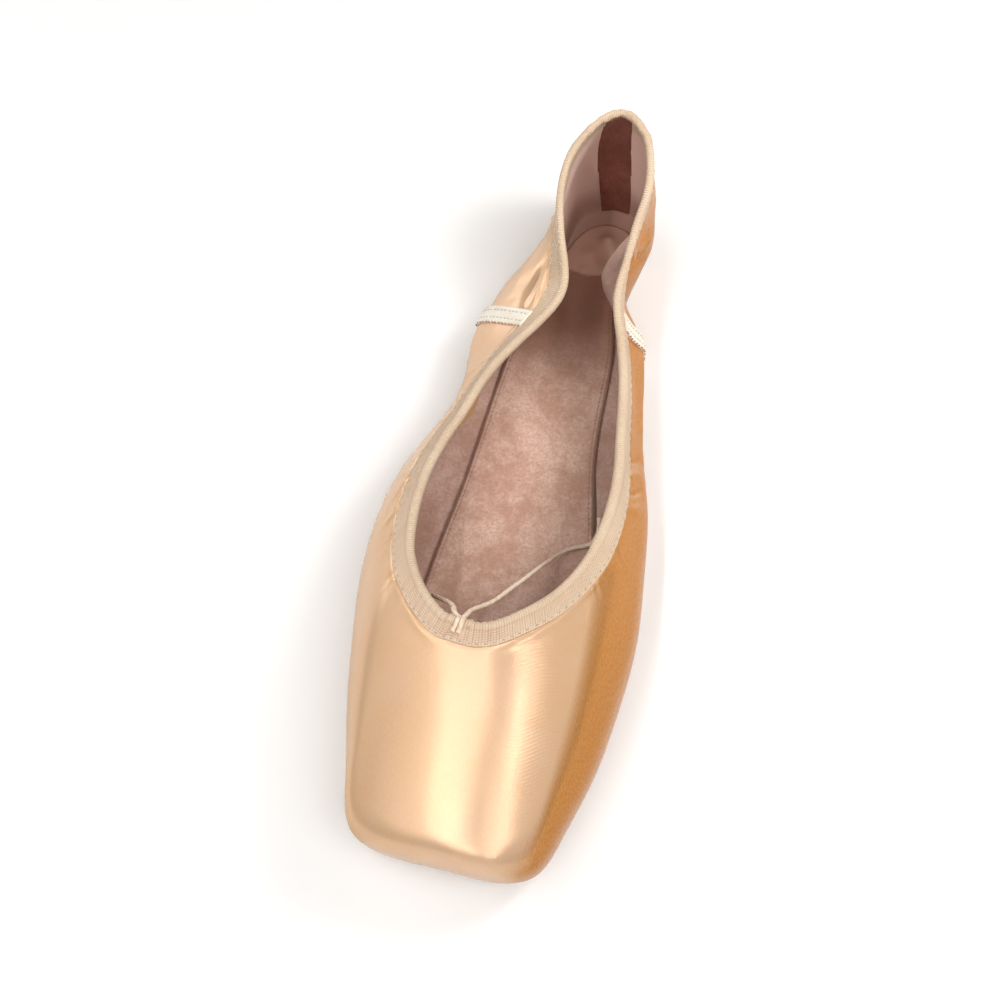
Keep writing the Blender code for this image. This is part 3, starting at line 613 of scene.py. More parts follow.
def wall_lengths(last):
    """Fine shares of the wall's reach, and the length along the wall from each up to the collar."""
    count = len(last["widest"])
    fine = 1 - np.cos(np.linspace(0, math.pi / 2, 120))
    samples = wall_points(last, np.repeat(fine[:, None], count, axis=1))
    pieces = np.linalg.norm(np.diff(samples, axis=0), axis=2)
    return fine, np.vstack([np.cumsum(pieces[::-1], axis=0)[::-1], np.zeros((1, count))])


def shares_at(last, distances):
    """The shares of the wall's reach that lie at distances from the collar, along the wall."""
    fine, lengths = wall_lengths(last)
    pairs = zip(distances.T, lengths.T)
    return np.array([np.interp(-far, -length, fine) for far, length in pairs]).T


def even_wall(last, rows):
    """Rows up the outer wall at even steps, and how far each point lies below the collar."""
    drop = np.linspace(1, 0, rows + 1)[:, None] * wall_lengths(last)[1][:1]
    return wall_points(last, shares_at(last, drop)), drop


def surface_normals(rows):
    """Normals of a grid of points that is closed round the shoe, pointing out of it."""
    across = np.roll(rows, -1, 1) - np.roll(rows, 1, 1)
    return unit(np.cross(np.gradient(rows, axis=0), across))


def wall_thickness(rows):
    """The box is thick under the toes, and thins towards the throat and the quarters."""
    back = smooth_step(*(LENGTH * share for share in WALL_THINS_OVER), rows[..., 1])
    to_collar = np.linalg.norm(rows - rows[-1:], axis=2)
    box = np.clip((to_collar - BINDING_OUTSIDE) / (2 * BINDING_OUTSIDE), 0, 1)
    return QUARTER_WALL + (BOX_WALL - QUARTER_WALL) * box * (1 - back)


def edge_points(last, start_inset, end_inset, bottom, angle):
    """Points round the feather edge: angle 0 is the widest line, a right angle the underside."""
    inset = end_inset - (end_inset - start_inset) * np.cos(angle) ** 0.9
    plan = last["widest_line"] + last["widest_inward"] * inset[:, None]
    floor = underside(plan[:, 1]) + bottom
    height = last["widest"] - (last["widest"] - floor) * np.sin(angle) ** 0.8
    return np.column_stack([plan, height])


def lower_edge(last, start_inset, end_inset, bottom, count):
    """Rows round the feather edge, from just under the widest line to the flat underside."""
    angles = np.linspace(0, math.pi / 2, count + 1)[1:]
    return [edge_points(last, start_inset, end_inset, bottom, angle) for angle in angles]


def margin_rows(start, last, bottom, count):
    """Rows of the turned-in margin, from the feather edge to the opening underneath."""
    edge = last["sole"] + last["sole_inward"] * LASTING_MARGIN
    rows = []
    for share in np.linspace(0, 1, count + 1)[1:]:
        plan = start[:, :2] + (edge - start[:, :2]) * share
        rows.append(np.column_stack([plan, underside(plan[:, 1]) + bottom]))
    return rows


def outer_skin(last, counts):
    """The upper's outer skin from the opening underneath to the collar, and each point's drop."""
    wall, drop = even_wall(last, counts["wall"])
    edge = lower_edge(last, np.zeros_like(last["feather"]), last["feather"], 0, counts["edge"])
    margin = margin_rows(edge[-1], last, 0, counts["margin"])
    below = len(edge) + len(margin)
    return np.array(margin[::-1] + edge[::-1] + list(wall)), np.vstack([drop[:1]] * below + [drop])


def inner_skin(last, counts):
    """The upper's inner skin, from the opening underneath to the collar."""
    wall = even_wall(last, counts["wall"])[0]
    thickness = wall_thickness(wall)
    inside = wall - surface_normals(wall) * thickness[..., None]
    outline = last["widest_line"] + last["widest_inward"] * thickness[:1].T
    inside[0] = np.column_stack([outline, last["widest"]])
    feather = last["feather"]
    edge = lower_edge(
        last, thickness[0], feather + thickness[0] / 2, QUARTER_WALL, counts["edge"]
    )
    margin = margin_rows(edge[-1], last, QUARTER_WALL, counts["margin"])
    return np.array(margin[::-1] + edge[::-1] + list(inside))


def skin(last, level):
    """Points on the outer skin: level 1 is the collar, 0 the widest line and -1 the feather edge."""
    level = np.broadcast_to(level, last["widest"].shape)
    wall = wall_points(last, np.clip(level, 0, 1)[None])[0]
    angle = np.clip(-level, 0, 1) * math.pi / 2
    edge = edge_points(last, np.zeros_like(level), last["feather"], 0, angle)
    return np.where(level[:, None] < 0, edge, wall)


def skin_normals(stations, level):
    """Normals of the outer skin, pointing out of the shoe."""
    across = skin(last_at(stations + NUDGE), level) - skin(last_at(stations - NUDGE), level)
    last = last_at(stations)
    return unit(np.cross(skin(last, level + NUDGE) - skin(last, level - NUDGE), across))


def frame_shift():
    """The shift from the last's own frame to the shared one."""
    line = last_at(np.linspace(0, 2, 84, endpoint=False))["widest_line"]
    middle = (line.min(axis=0) + line.max(axis=0)) / 2
    return Vector((-middle[0], -middle[1], 0))


def link_object(name, data):
    made = bpy.data.objects.new(name, data)
    bpy.context.scene.collection.objects.link(made)
    return made


def add_object(name, points, faces, material):
    """A piece of the shoe, from points in the last's own frame."""
    mesh = bpy.data.meshes.new(name)
    mesh.from_pydata([tuple(point) for point in points], [], faces)
    built = bmesh.new()
    built.from_mesh(mesh)
    bmesh.ops.recalc_face_normals(built, faces=built.faces)
    built.to_mesh(mesh)
    built.free()
    mesh.transform(Matrix.Translation(frame_shift()))
    mesh.shade_smooth()
    mesh.set_sharp_from_angle(angle=SHARP_ANGLE)
    mesh.materials.append(material)
    made = link_object(name, mesh)
    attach(made, "root")
    return made


def grid_faces(height, width, first=0, close_rows=False, close_columns=True):
    """Quads of a grid of points whose rows are closed, and whose last row may join the first."""
    faces = []
    for i in range(height if close_rows else height - 1):
        for j in range(width if close_columns else width - 1):
            here = first + i * width
            above = first + (i + 1) % height * width
            beside = (j + 1) % width
            faces.append((here + j, here + beside, above + beside, above + j))
    return faces


def tube_faces(rings, around, first=0):
    """The quads between a tube's rings, and a face over each of its ends."""
    start = tuple(first + j for j in range(around))
    end = tuple((rings - 1) * around + j for j in start)
    return grid_faces(rings, around, first) + [start[::-1], end]


def set_uv(made, points_uv):
    """A UV map in metres, given for each point. Where it jumps at the toe's join, it is unwrapped."""
    corner = np.empty(len(made.data.loops), np.int32)
    made.data.loops.foreach_get("vertex_index", corner)
    sizes = np.empty(len(made.data.polygons), np.int32)
    made.data.polygons.foreach_get("loop_total", sizes)
    values = points_uv[corner]
    columns = np.unique(points_uv[:, 0])
    whole = columns[-1]
    once_round = 2 * whole - columns[-2]
    face = np.repeat(np.arange(len(sizes)), sizes)
    high = np.full(len(sizes), -np.inf)
    np.maximum.at(high, face, values[:, 0])
    wraps = (high[face] > 0.75 * whole) & (values[:, 0] < 0.25 * whole)
    values[wraps, 0] += once_round
    layer = made.data.uv_layers.new(name="thread")
    layer.data.foreach_set("uv", values.astype(np.float32).ravel())


def set_value(made, name, *parts, vector=False):
    """A number or a vector for each point, for one part of the piece after another."""
    attribute = made.data.attributes.new(name, "FLOAT_VECTOR" if vector else "FLOAT", "POINT")
    values = np.concatenate([np.ravel(part) for part in parts]).astype(np.float32)
    attribute.data.foreach_set("vector" if vector else "value", values)


def smooth_noise(points, size, seed=0):
    """Soft noise from -1 to 1 over points, whose lumps are about size across."""
    shape = points.shape[:-1]
    flat = points.reshape(-1, 3) / size + seed * 17.3
    return np.array([noise.noise(Vector(p)) for p in flat]).reshape(shape)


def fold_height(points, height, width, line):
    """A soft ridge or trough along a line, tapering to both its ends."""
    line = np.array(line) * MM
    starts = run(line)
    best = np.full(points.shape[:-1], np.inf)
    place = np.zeros(points.shape[:-1])
    for a, b, start, end in zip(line, line[1:], starts, starts[1:]):
        share = np.clip((points - a) @ (b - a) / (end - start) ** 2, 0, 1)
        away = np.linalg.norm(points - (a + share[..., None] * (b - a)), axis=-1)
        nearer = away < best
        best = np.where(nearer, away, best)
        place = np.where(nearer, start + share * (end - start), place)
    taper = np.sin(math.pi * np.clip(place / starts[-1], 0, 1)) ** 0.7
    return height * MM * taper * bell(best, 0, width * MM)


def gather_height(last, drop, side, begin, end, pitch, height, reach):
    """Short ridges in the satin, square to the binding's outer edge."""
    y = last["collar"][:, 1] / MM
    on_side = last["stations"] < 1 if side == "outer" else last["stations"] > 1
    ramp = smooth_step(begin, begin + 10, y) * (1 - smooth_step(end - 10, end, y)) * on_side
    along = run(last["collar"], closed=True)[:-1] / (pitch * MM)
    phase = along + 0.30 * np.sin(along * 1.9) + 0.17 * np.sin(along * 4.3 + 1.0)
    ridge = (0.5 + 0.5 * np.cos(2 * math.pi * phase)) ** 2.5 - 0.3
    strength = 0.6 + 0.4 * np.sin(along * 2.7 + 0.6)
    below = np.clip(drop - BINDING_OUTSIDE, 0, None)
    return height * MM * ramp * ridge * strength * bell(below, 0, reach * MM)


def thread_directions(normal):
    """The way the satin's shiny threads run: lengthwise, and down over the front of the toe."""
    ahead = np.array([0.0, 1.0, 0.0]) - normal * normal[..., 1:2]
    down = np.array([0.0, 0.0, 1.0]) - normal * normal[..., 2:3]
    return unit(ahead + down * normal[..., 1:2] ** 4)


def satin_relief(last, rows, drop):
    """How far the satin stands off the last's own skin."""
    quarters = smooth_step(0.42 * LENGTH, 0.62 * LENGTH, rows[..., 1])
    relief = (0.02 + 0.08 * quarters) * MM * smooth_noise(rows, 9 * MM, 1)
    relief += quarters * 0.35 * MM * smooth_noise(rows, 14 * MM, 2)
    relief += quarters * 0.10 * MM * smooth_noise(rows, 4 * MM, 3)
    relief += sum(fold_height(rows, *row) for row in FOLDS)
    relief += sum(gather_height(last, drop, *row) for row in GATHERS)
    beside = bell(drop, BINDING_OUTSIDE + 1.3 * MM, 1.0 * MM)
    beside *= 0.4 + 0.6 * smooth_step(VAMP_LENGTH, VAMP_LENGTH + 18 * MM, rows[..., 1])
    relief += 0.30 * MM * beside * (1 + 0.8 * smooth_noise(rows, 6 * MM, 4))
    tucked = smooth_step(0, 1.5 * MM, drop - BINDING_OUTSIDE + 0.5 * MM)
    return relief * (0.1 + 0.9 * tucked) - SATIN_TUCK * (1 - tucked)


def pleat_relief(last, rows):
    """Pleats that fan out from the outsole's front edge and fade out round the feather edge."""
    along = run(last["widest_line"], closed=True)[:-1] / PLEAT_PITCH
    phase = np.mod(along + 0.2 * np.sin(along * 1.7), 1)
    tooth = np.where(phase < PLEAT_LEAN, phase / PLEAT_LEAN, (1 - phase) / (1 - PLEAT_LEAN))
    toe = 1 - smooth_step(*PLEATS_FADE, last["widest_line"][:, 1])
    under = 1 - smooth_step(0, 1, (rows[..., 2] - underside(rows[..., 1])) / PLEATS_REACH)
    return PLEAT_HEIGHT * tooth * toe * under


def closed_shell(name, outside, inside, material):
    """A thin solid between two skins of one width, each given as rows round the shoe."""
    rows = np.concatenate([outside, inside[::-1]])
    faces = grid_faces(*rows.shape[:2], close_rows=True)
    return add_object(name, rows.reshape(-1, 3), faces, material), rows


def make_satin(material):
    """The satin over box, wings and quarters, pleated under the toe."""
    last = last_at(stations_along("widest_line", SATIN_COLUMNS))
    rows, drop = outer_skin(last, SATIN_ROWS)
    normal = surface_normals(rows)
    relief = satin_relief(last, rows, drop) + pleat_relief(last, rows)
    outside = rows + normal * relief[..., None]
    picked = np.linspace(0, len(rows) - 1, BACK_ROWS).round().astype(int)
    inside = (outside - surface_normals(outside) * SATIN_THICKNESS)[picked]
    made, all_rows = closed_shell("upper_satin", outside, inside, material)
    u = run(rows[SATIN_ROWS["margin"]], closed=True)[:-1]
    up = np.linalg.norm(np.diff(rows, axis=0), axis=2)
    v = np.vstack([np.zeros((1, len(u))), np.cumsum(up, axis=0)])
    v = np.vstack([v, v[picked][::-1]])
    set_uv(made, np.dstack([np.broadcast_to(u, v.shape), v]).reshape(-1, 2))
    set_value(made, "under", 1 - smooth_step(3.5 * MM, 9 * MM, all_rows[..., 2]))
    normals = np.concatenate([surface_normals(outside), normal[picked][::-1]])
    set_value(made, "lengthwise", thread_directions(normals), vector=True)
    # Masks for the satin's painted shade: browner on its steeper sides, which also gloss less, and a
    # deeper orange on the side facing the arch
    level = smooth_step(0.1, 0.85, normals[..., 2])
    set_value(made, "steep_painted_shade", (1 - level) * smooth_step(0.05, 0.55, np.abs(normals[..., 0])))
    set_value(made, "arch_side_painted_shade", smooth_step(0.2, 0.85, normals[..., 0]))
    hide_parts("upper")


def make_lining(material):
    """The cloth inside the upper, which shows at the sides and the heel."""
    last = last_at(stations_along("widest_line", LINING_COLUMNS))
    rows = inner_skin(last, LINING_ROWS)
    normal = surface_normals(rows)
    relief = 0.25 * MM * smooth_noise(rows, 11 * MM, 5) + 0.08 * MM * smooth_noise(rows, 3 * MM, 6)
    relief += sum(fold_height(rows, *row) for row in LINING_FOLDS)
    to_rim = np.linalg.norm(rows - rows[-1:], axis=2)
    relief *= smooth_step(0.5 * BINDING_INSIDE, 1.6 * BINDING_INSIDE, to_rim)
    inside = rows - normal * (relief + 0.05 * MM)[..., None]
    outside = inside + normal * LINING_THICKNESS
    made, all_rows = closed_shell("lining", outside, inside, material)
    heel = smooth_step(0.80 * LENGTH, 0.88 * LENGTH, all_rows[..., 1])
    # Masks for the lining's painted light at the heel, its painted shade low in the heel, and painted
    # shade along the arch side
    set_value(made, "heel", heel)
    set_value(made, "low", heel * (1 - smooth_step(8 * MM, 20 * MM, all_rows[..., 2])))
    set_value(made, "shaded", smooth_step(0.3, 0.9, last["stations"] - 1) * (1 - heel))


def heel_strip(half_width, thickness, material):
    """The narrow leather strip that covers the back seam inside the heel.

    One more column on each side is worked out and left away, for the normals at the edges.
    """
    step = half_width / 8
    across = np.linspace(-half_width - step, half_width + step, 19)
    nudge = 0.01
    beside = last_at(HEEL_STATION + nudge * np.array([-1, 1]))["widest_line"]
    per_metre = 2 * nudge / np.linalg.norm(beside[1] - beside[0])
    rows = inner_skin(last_at(HEEL_STATION + across * per_metre), LINING_ROWS)
    normal = unit(np.cross(np.gradient(rows, axis=0), np.gradient(rows, axis=1)))
    keep = slice(LINING_ROWS["margin"] + 2, len(rows) - 1)
    rows, normal = rows[keep, 1:-1], normal[keep, 1:-1]
    edge = 1 - np.abs(across[1:-1] / half_width) ** 6
    lift = 0.35 * MM + thickness * edge[None] + 0.12 * MM * smooth_noise(rows, 5 * MM, 8)
    face = rows - normal * lift[..., None]
    back = rows - normal * 0.1 * MM
    strip_shell("heel_strip", face, back, material)


def strip_shell(name, face, back, material):
    """A thin open-ended sheet between two grids of one shape, closed round its four sides."""
    height, width = face.shape[:2]
    points = np.concatenate([face.reshape(-1, 3), back.reshape(-1, 3)])
    faces = grid_faces(height, width, close_columns=False)
    lower = height * width
    faces += [tuple(lower + i for i in quad[::-1]) for quad in faces]
    border = list(range(width))
    border += [i * width + width - 1 for i in range(1, height)]
    border += [(height - 1) * width + j for j in range(width - 2, -1, -1)]
    border += [i * width for i in range(height - 2, 0, -1)]
    for a, b in zip(border, border[1:] + border[:1]):
        faces.append((b, a, lower + a, lower + b))
    return add_object(name, points, faces, material)


def binding_section(last):
    """The binding's outer face, row by row from its outside edge over the rim to its inside edge.

    It returns the rows, their normals and how far each lies from the rim, below zero inside.
    """
    outside = np.linspace(BINDING_OUTSIDE, 0.2 * MM, OUTSIDE_ROWS)
    y = last["collar"][:, 1]
    wings = smooth_step(VAMP_LENGTH + 4 * MM, VAMP_LENGTH + 24 * MM, y)
    stretch = (TAPE_AT_THROAT + (TAPE_AT_SIDES - TAPE_AT_THROAT) * wings) / BINDING_OUTSIDE
    wall = wall_points(last, shares_at(last, np.append(outside, 0)[:, None] * stretch))
    normal = surface_normals(wall)
    inner = wall - normal * wall_thickness(wall)[..., None]
    along = np.roll(wall[-1], -1, 0) - np.roll(wall[-1], 1, 0)
    beyond = np.cross(along, normal[-1])
    beyond *= np.sign((beyond * (wall[-1] - wall[-2])).sum(axis=1, keepdims=True))
    beyond = unit(beyond)
    fuller = FULLER_IN_FRONT * (1 - smooth_step(*(LENGTH * share for share in FULLER_OVER), y))
    off_lining = (BINDING_OFF_LINING + fuller)[:, None]
    outer_edge = wall[-1] + normal[-1] * BINDING_OFF_SATIN
    inner_edge = inner[-1] - normal[-1] * off_lining
    middle = (outer_edge + inner_edge) / 2
    half = np.linalg.norm(outer_edge - inner_edge, axis=1, keepdims=True) / 2
    rows = list(wall[:-1] + normal[:-1] * BINDING_OFF_SATIN)
    normals = list(normal[:-1])
    places = list(outside)
    for angle in np.linspace(0, math.pi, RIM_ROWS):
        out = normal[-1] * math.cos(angle) + beyond * math.sin(angle)
        rows.append(middle + out * half)
        normals.append(out)
        places.append(0.15 * MM * math.cos(angle))
    for want in np.linspace(0.4 * MM, BINDING_INSIDE, INSIDE_ROWS):
        i = int(np.abs(outside - want).argmin())
        rows.append(inner[i] - normal[i] * off_lining)
        normals.append(-normal[i])
        places.append(-want)
    return np.array(rows), np.array(normals), np.array(places)


def binding_relief(last, rows, places, from_slit, along):
    """The tape's woven ribs, its rolled rim, and its gathers beside the drawstring's slit.

    It also returns what the tape's material reads, by name.
    """
    place = places[:, None]
    gathered = bell(from_slit, 0, GATHERED_OVER)[None]
    wander = 0.22 * MM * gathered * np.sin(from_slit / (1.1 * MM) + 3 * np.sin(from_slit / (4 * MM)))
    body = smooth_step(1.0 * MM, 1.5 * MM, place)
    body = body * (1 - smooth_step(BINDING_OUTSIDE - 1.1 * MM, BINDING_OUTSIDE - 0.7 * MM, place))
    dip = 0.5 - 0.5 * np.cos(2 * math.pi * (place + wander) / RIB_PITCH)
    dip = dip**1.8 * body * (0.7 + 0.5 * smooth_noise(rows, 7 * MM, 10))
    roll = 1 - smooth_step(0.3 * MM, 0.9 * MM, np.abs(place))
    crease = bell(place, CREASE_AT, 0.20 * MM)
    relief = ROLL_HEIGHT * roll - CREASE_DEPTH * crease - RIB_DEPTH * dip * (1 + 0.8 * gathered)
    relief += 0.12 * MM * smooth_noise(rows, 5 * MM, 11)
    puckers = np.cos(2 * math.pi * along / PUCKER_PITCH + 2 * np.sin(along / (9 * MM)))
    relief += PUCKER_HEIGHT * puckers * smooth_step(1 * MM, 3 * MM, place)
    bunched = np.cos(2 * math.pi * from_slit / BUNCH_PITCH + 2 * np.sin(from_slit / (3.3 * MM)))
    relief += BUNCH_HEIGHT * gathered * bunched * smooth_step(-3 * MM, 0.5 * MM, place)
    opening = bell(from_slit, 0, SLIT_WIDTH) * smooth_step(-1.5 * MM, -0.1 * MM, place)
    opening = opening * (1 - smooth_step(1.6 * MM, 3.0 * MM, place))
    lumps = bell(np.abs(from_slit), LUMPS_AT, 1.2 * MM) * roll
    relief += LUMP_HEIGHT * lumps - SLIT_DEPTH * opening
    frayed = smooth_step(0.93 * LENGTH, 0.965 * LENGTH, last["collar"][:, 1])
    relief += FRAY_HEIGHT * frayed * roll * smooth_noise(rows, 1.8 * MM, 12)
    # Where the tape's colour gets painted shade: in its rib grooves and crease, and inside the slit's
    # opening
    groove_painted_shade = np.clip(dip + 0.8 * crease, 0, 1)
    return relief, {"groove_painted_shade": groove_painted_shade, "slit": opening, "gathered": gathered * body}


def make_binding(material, cord):
    """The ribbed tape folded over the whole edge, and the drawstring coming out of its slit.

    It returns the line near the tape's outer edge where it is stitched down, and its normals.
    """
    last = last_at(stations_along("collar", BINDING_COLUMNS))
    collar = last["collar"]
    rows, normals, places = binding_section(last)
    along = run(collar, closed=True)
    along, whole = along[:-1], along[-1]
    front = collar[:, 1] < VAMP_LENGTH + 20 * MM
    slit = along[np.where(front, np.abs(collar[:, 0] - SLIT_X), 1).argmin()]
    from_slit = np.mod(along - slit + whole / 2, whole) - whole / 2
    relief, values = binding_relief(last, rows, places, from_slit, along)
    face = rows + normals * relief[..., None]
    under = slice(len(places) - INSIDE_ROWS - 1, 0, -13)
    back = np.array(
        [
            face[-1] - normals[-1] * BINDING_OFF_LINING,
            *(rows[under] - normals[under] * 0.3 * MM),
            face[0] - normals[0] * (BINDING_OFF_SATIN + SATIN_TUCK),
        ]
    )
    points = np.concatenate([face, back])
    faces = grid_faces(*points.shape[:2], close_rows=True)
    made = add_object("binding_tape", points.reshape(-1, 3), faces, material)
    v = np.concatenate([places, np.linspace(-BINDING_INSIDE, BINDING_OUTSIDE, len(back))])
    set_uv(made, np.dstack(np.meshgrid(along, v)).reshape(-1, 2))
    for name, value in values.items():
        set_value(made, name, np.broadcast_to(value, face.shape[:2]), np.zeros(back.shape[:2]))
    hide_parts("binding")
    over = (places < 3.2 * MM) & (places > -0.16 * MM)
    for name, side, route in (("left", -1, ROUTE_OUTER), ("right", 1, ROUTE_INNER)):
        nearest = int(np.abs(from_slit - side * 0.62 * MM).argmin())
        path = (face + normals * 0.35 * CORD_DIAMETER)[over, nearest]
        path = np.concatenate([path[:: max(1, len(path) // 6)], np.array(route[:2]) * MM])
        add_tube("drawstring_slit_" + name, path, cord)
    stitched = int(np.abs(places - (BINDING_OUTSIDE - 0.75 * MM)).argmin())
    return face[stitched], normals[stitched]


def stitches(name, places, forward, out, size, material):
    """Short round threads, one for each place, lying along forward and half sunk."""
    length, width, height = size
    rings, around = 5, 8
    share = (-1 + (2 * np.arange(rings) + 1) / rings)[:, None, None]
    girth = (1 - share**2) ** 0.4
    turn = np.linspace(0, 2 * math.pi, around, endpoint=False)[:, None]
    points, faces = [], []
    for place, ahead, up in zip(places, unit(forward), unit(out)):
        side = np.cross(up, ahead)
        ring = side * np.cos(turn) * width / 2 + up * np.sin(turn) * height
        faces += tube_faces(rings, around, len(points) * rings * around)
        points.append(place + ahead * share * length / 2 + ring * girth)
    return add_object(name, np.array(points).reshape(-1, 3), faces, material)


def make_binding_stitches(points, normals, material):
    """The row of stitches along the binding's outer edge."""
    along = run(points, closed=True)
    wanted = np.linspace(0, along[-1], int(along[-1] / BINDING_STITCH_PITCH), endpoint=False)
    i = np.searchsorted(along, wanted) % len(points)
    forward = (np.roll(points, -2, 0) - np.roll(points, 2, 0))[i]
    size = BINDING_STITCH
    stitches("binding_stitches", points[i], forward, normals[i], size, material)


def rows_between(along, start, end, pitch):
    """The rows of a tape a pitch apart, from start behind its one end to end before the other."""
    wanted = np.arange(start, along[-1] - end, pitch)
    return np.clip(np.searchsorted(along, wanted), 1, len(along) - 2)


def seam_tape_grid(ends, across):
    """Points of the satin's skin under a seam tape, and their normals, from its foot upwards."""
    low, high = ends
    to_collar = np.array([[BINDING_OUTSIDE - 0.4 * MM]])
    top = shares_at(last_at(np.array([high])), to_collar)[0, 0]
    up_wall = top * (1 - np.cos(np.linspace(0, math.pi / 2, 60)))
    nudge = 0.001
    points, normals = [], []
    for level in np.concatenate([np.linspace(-0.62, 0, 14)[:-1], up_wall]):
        centre = low + (high - low) * max(level, 0)
        pair = skin(last_at(centre + nudge * np.array([-1, 1])), level)
        half = SEAM_TAPE_WIDTH / 2 * 2 * nudge / np.linalg.norm(pair[1] - pair[0])
        stations = centre + across * half
        points.append(skin(last_at(stations), level))
        normals.append(skin_normals(stations, level))
    return np.array(points), np.array(normals)


def make_seam_tape(name, node, ends, edge_side, tape, thread, edge_thread):
    """The white tape over a side seam, its two rows of stitches and its overcast edge."""
    across = np.linspace(-1, 1, TAPE_COLUMNS)
    middle = TAPE_COLUMNS // 2
    points, normals = seam_tape_grid(ends, across)
    along = run(points[:, middle])
    edge = 1 - np.abs(across) ** 8
    pulled = bell(np.abs(across), SEAM_STITCHES_AT, 0.10)
    lift = 0.45 * MM + 0.55 * MM * edge - 0.22 * MM * pulled
    waver = 0.10 * MM * smooth_noise(points, 4 * MM, 14)
    face = points + normals * (lift + waver)[..., None]
    made = strip_shell(name, face, points + normals * 0.1 * MM, tape)
    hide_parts(node)
    i = rows_between(along, 1.2 * MM, 0.6 * MM, SEAM_STITCH_PITCH)
    lines = [int(np.abs(across - side * SEAM_STITCHES_AT).argmin()) for side in (-1, 1)]
    i, j = np.tile(i, 2), np.repeat(lines, len(i))
    out = normals[i, j]
    ahead = face[i + 1, j] - face[i - 1, j]
    places = face[i, j] + out * 0.02 * MM
    stitches(name + "_stitches", places, ahead, out, SEAM_STITCH, thread)
    i = rows_between(along, 0.8 * MM, 0.4 * MM, OVERCAST_PITCH)
    j = 1 if edge_side < 0 else TAPE_COLUMNS - 2
    over = unit(face[i, j] - face[i, middle])
    ahead = unit(face[i + 1, j] - face[i - 1, j]) + 0.35 * over
    places = face[i, j] + over * 0.1 * MM
    stitches(name + "_overcast", places, ahead, normals[i, j], OVERCAST, edge_thread)


def flat_plan(line):
    """Points in plan across a flat piece, without its tips, and how far in from its edge each lies."""
    outline = last_at(stations_along(line, FLAT_COLUMNS))[line]
    across = (0.5 - 0.5 * np.cos(np.linspace(0, math.pi, FLAT_ROWS)))[:, None]
    half = len(outline) // 2
    plan = [outline[i] + (outline[-i] - outline[i]) * across for i in range(1, half)]
    edge = [np.linalg.norm(row[:, None] - outline, axis=2).min(axis=1) for row in plan]
    return np.array(plan), np.array(edge)


def make_insole(material):
    """The suede sock on its board, with a stitched edge, ending short of the heel."""
    plan, edge = flat_plan("insole")
    x, y = plan[..., 0], plan[..., 1]
    bottom = underside(y) + QUARTER_WALL + GAP
    top = bottom + INSOLE_THICKNESS
    flat = np.dstack([plan, top])
    sock = 1 - smooth_step(0, 0.6 * MM, y - SOCK_END - 0.6 * MM * np.sin(x / (2.1 * MM)))
    dashes = 0.65 + 0.35 * np.cos(2 * math.pi * y / SOCK_STITCH_PITCH)
    line = bell(edge, SOCK_LINE, 0.26 * MM) * sock * dashes
    relief = -SOCK_STEP * (1 - sock) - 0.22 * MM * line
    relief += 0.22 * MM * smooth_noise(flat, 16 * MM, 21)
    relief += 0.05 * MM * smooth_noise(flat, 2.5 * MM, 22)
    relief -= 0.55 * MM * (1 - smooth_step(0, 0.9 * MM, edge))
    for middle_x, middle_y, half_width, height in SEAT_LUMPS:
        away = np.hypot(x - middle_x * MM, y - middle_y * MM)
        relief += height * MM * bell(away, 0, half_width * MM) * (1 - sock)
    face, back = np.dstack([plan, top + relief]), np.dstack([plan, bottom])
    made = strip_shell("insole_sock", face, back, material)
    plain = np.zeros(line.shape)
    set_value(made, "line", line, plain)
    set_value(made, "seat", 1 - sock, plain)
    # Dirt and painted shade towards the heel end, and a painted shadow line along the sock's edge
    set_value(made, "heelward_dirt_and_shade", smooth_step(0.66 * LENGTH, 0.80 * LENGTH, y), plain)
    set_value(made, "edge", 1 - smooth_step(0, 1.3 * MM, edge), plain + 1)
    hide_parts("insole")


def make_outsole(material):
    """The thin leather outsole, with a channel cut round it and rounded lower edges."""
    plan, edge = flat_plan("sole")
    y = plan[..., 1]
    bevel = 0.7 * MM * (1 - np.clip(edge / (0.9 * MM), 0, 1)) ** 2
    channel = bell(edge, CHANNEL_INSET, 0.35 * MM)
    top = np.dstack([plan, floor_lift(y) + OUTSOLE_THICKNESS])
    bottom = np.dstack([plan, floor_lift(y) + bevel + CHANNEL_DEPTH * channel])
    made = strip_shell("outsole_leather", top, bottom, material)
    plain = np.zeros(channel.shape)
    rubbed = bell(y, 62 * MM, 26 * MM) + 0.7 * bell(y, 206 * MM, 14 * MM)
    set_value(made, "channel", plain, channel)
    set_value(made, "rubbed", plain, rubbed)
    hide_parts("outsole")


def add_tube(name, points, material):
    """A soft braided cord through points. It returns the piece and the line along its middle."""
    knots = run(points)
    count = int(knots[-1] / CORD_STEP)
    path = spline(knots, points, np.linspace(0, knots[-1], count))
    around = 18
    turn = np.linspace(0, 2 * math.pi, around, endpoint=False)[:, None]
    ahead = unit(np.gradient(path, axis=0))
    side = np.cross(ahead[0], (0.0, 0.0, 1.0))
    rings = []
    for i in range(count):
        side = unit(side - ahead[i] * (side @ ahead[i]))
        up = np.cross(side, ahead[i])
        twist = i / count * knots[-1] / BRAID_PITCH * 2 * math.pi
        girth = 0.95 + 0.05 * np.cos(3 * turn - twist) + 0.05 * np.cos(3 * turn + twist)
        ring = side * np.cos(turn) + up * np.sin(turn)
        rings.append(path[i] + CORD_DIAMETER / 2 * girth * ring)
    points = np.array(rings).reshape(-1, 3)
    return add_object(name, points, tube_faces(count, around), material), path


def make_cord(name, node, route, material):
    """One end of the drawstring, from the binding's slit down into the shoe."""
    made, path = add_tube(name, np.array(route) * MM, material)
    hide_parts(node)
    path = path + np.array(frame_shift())


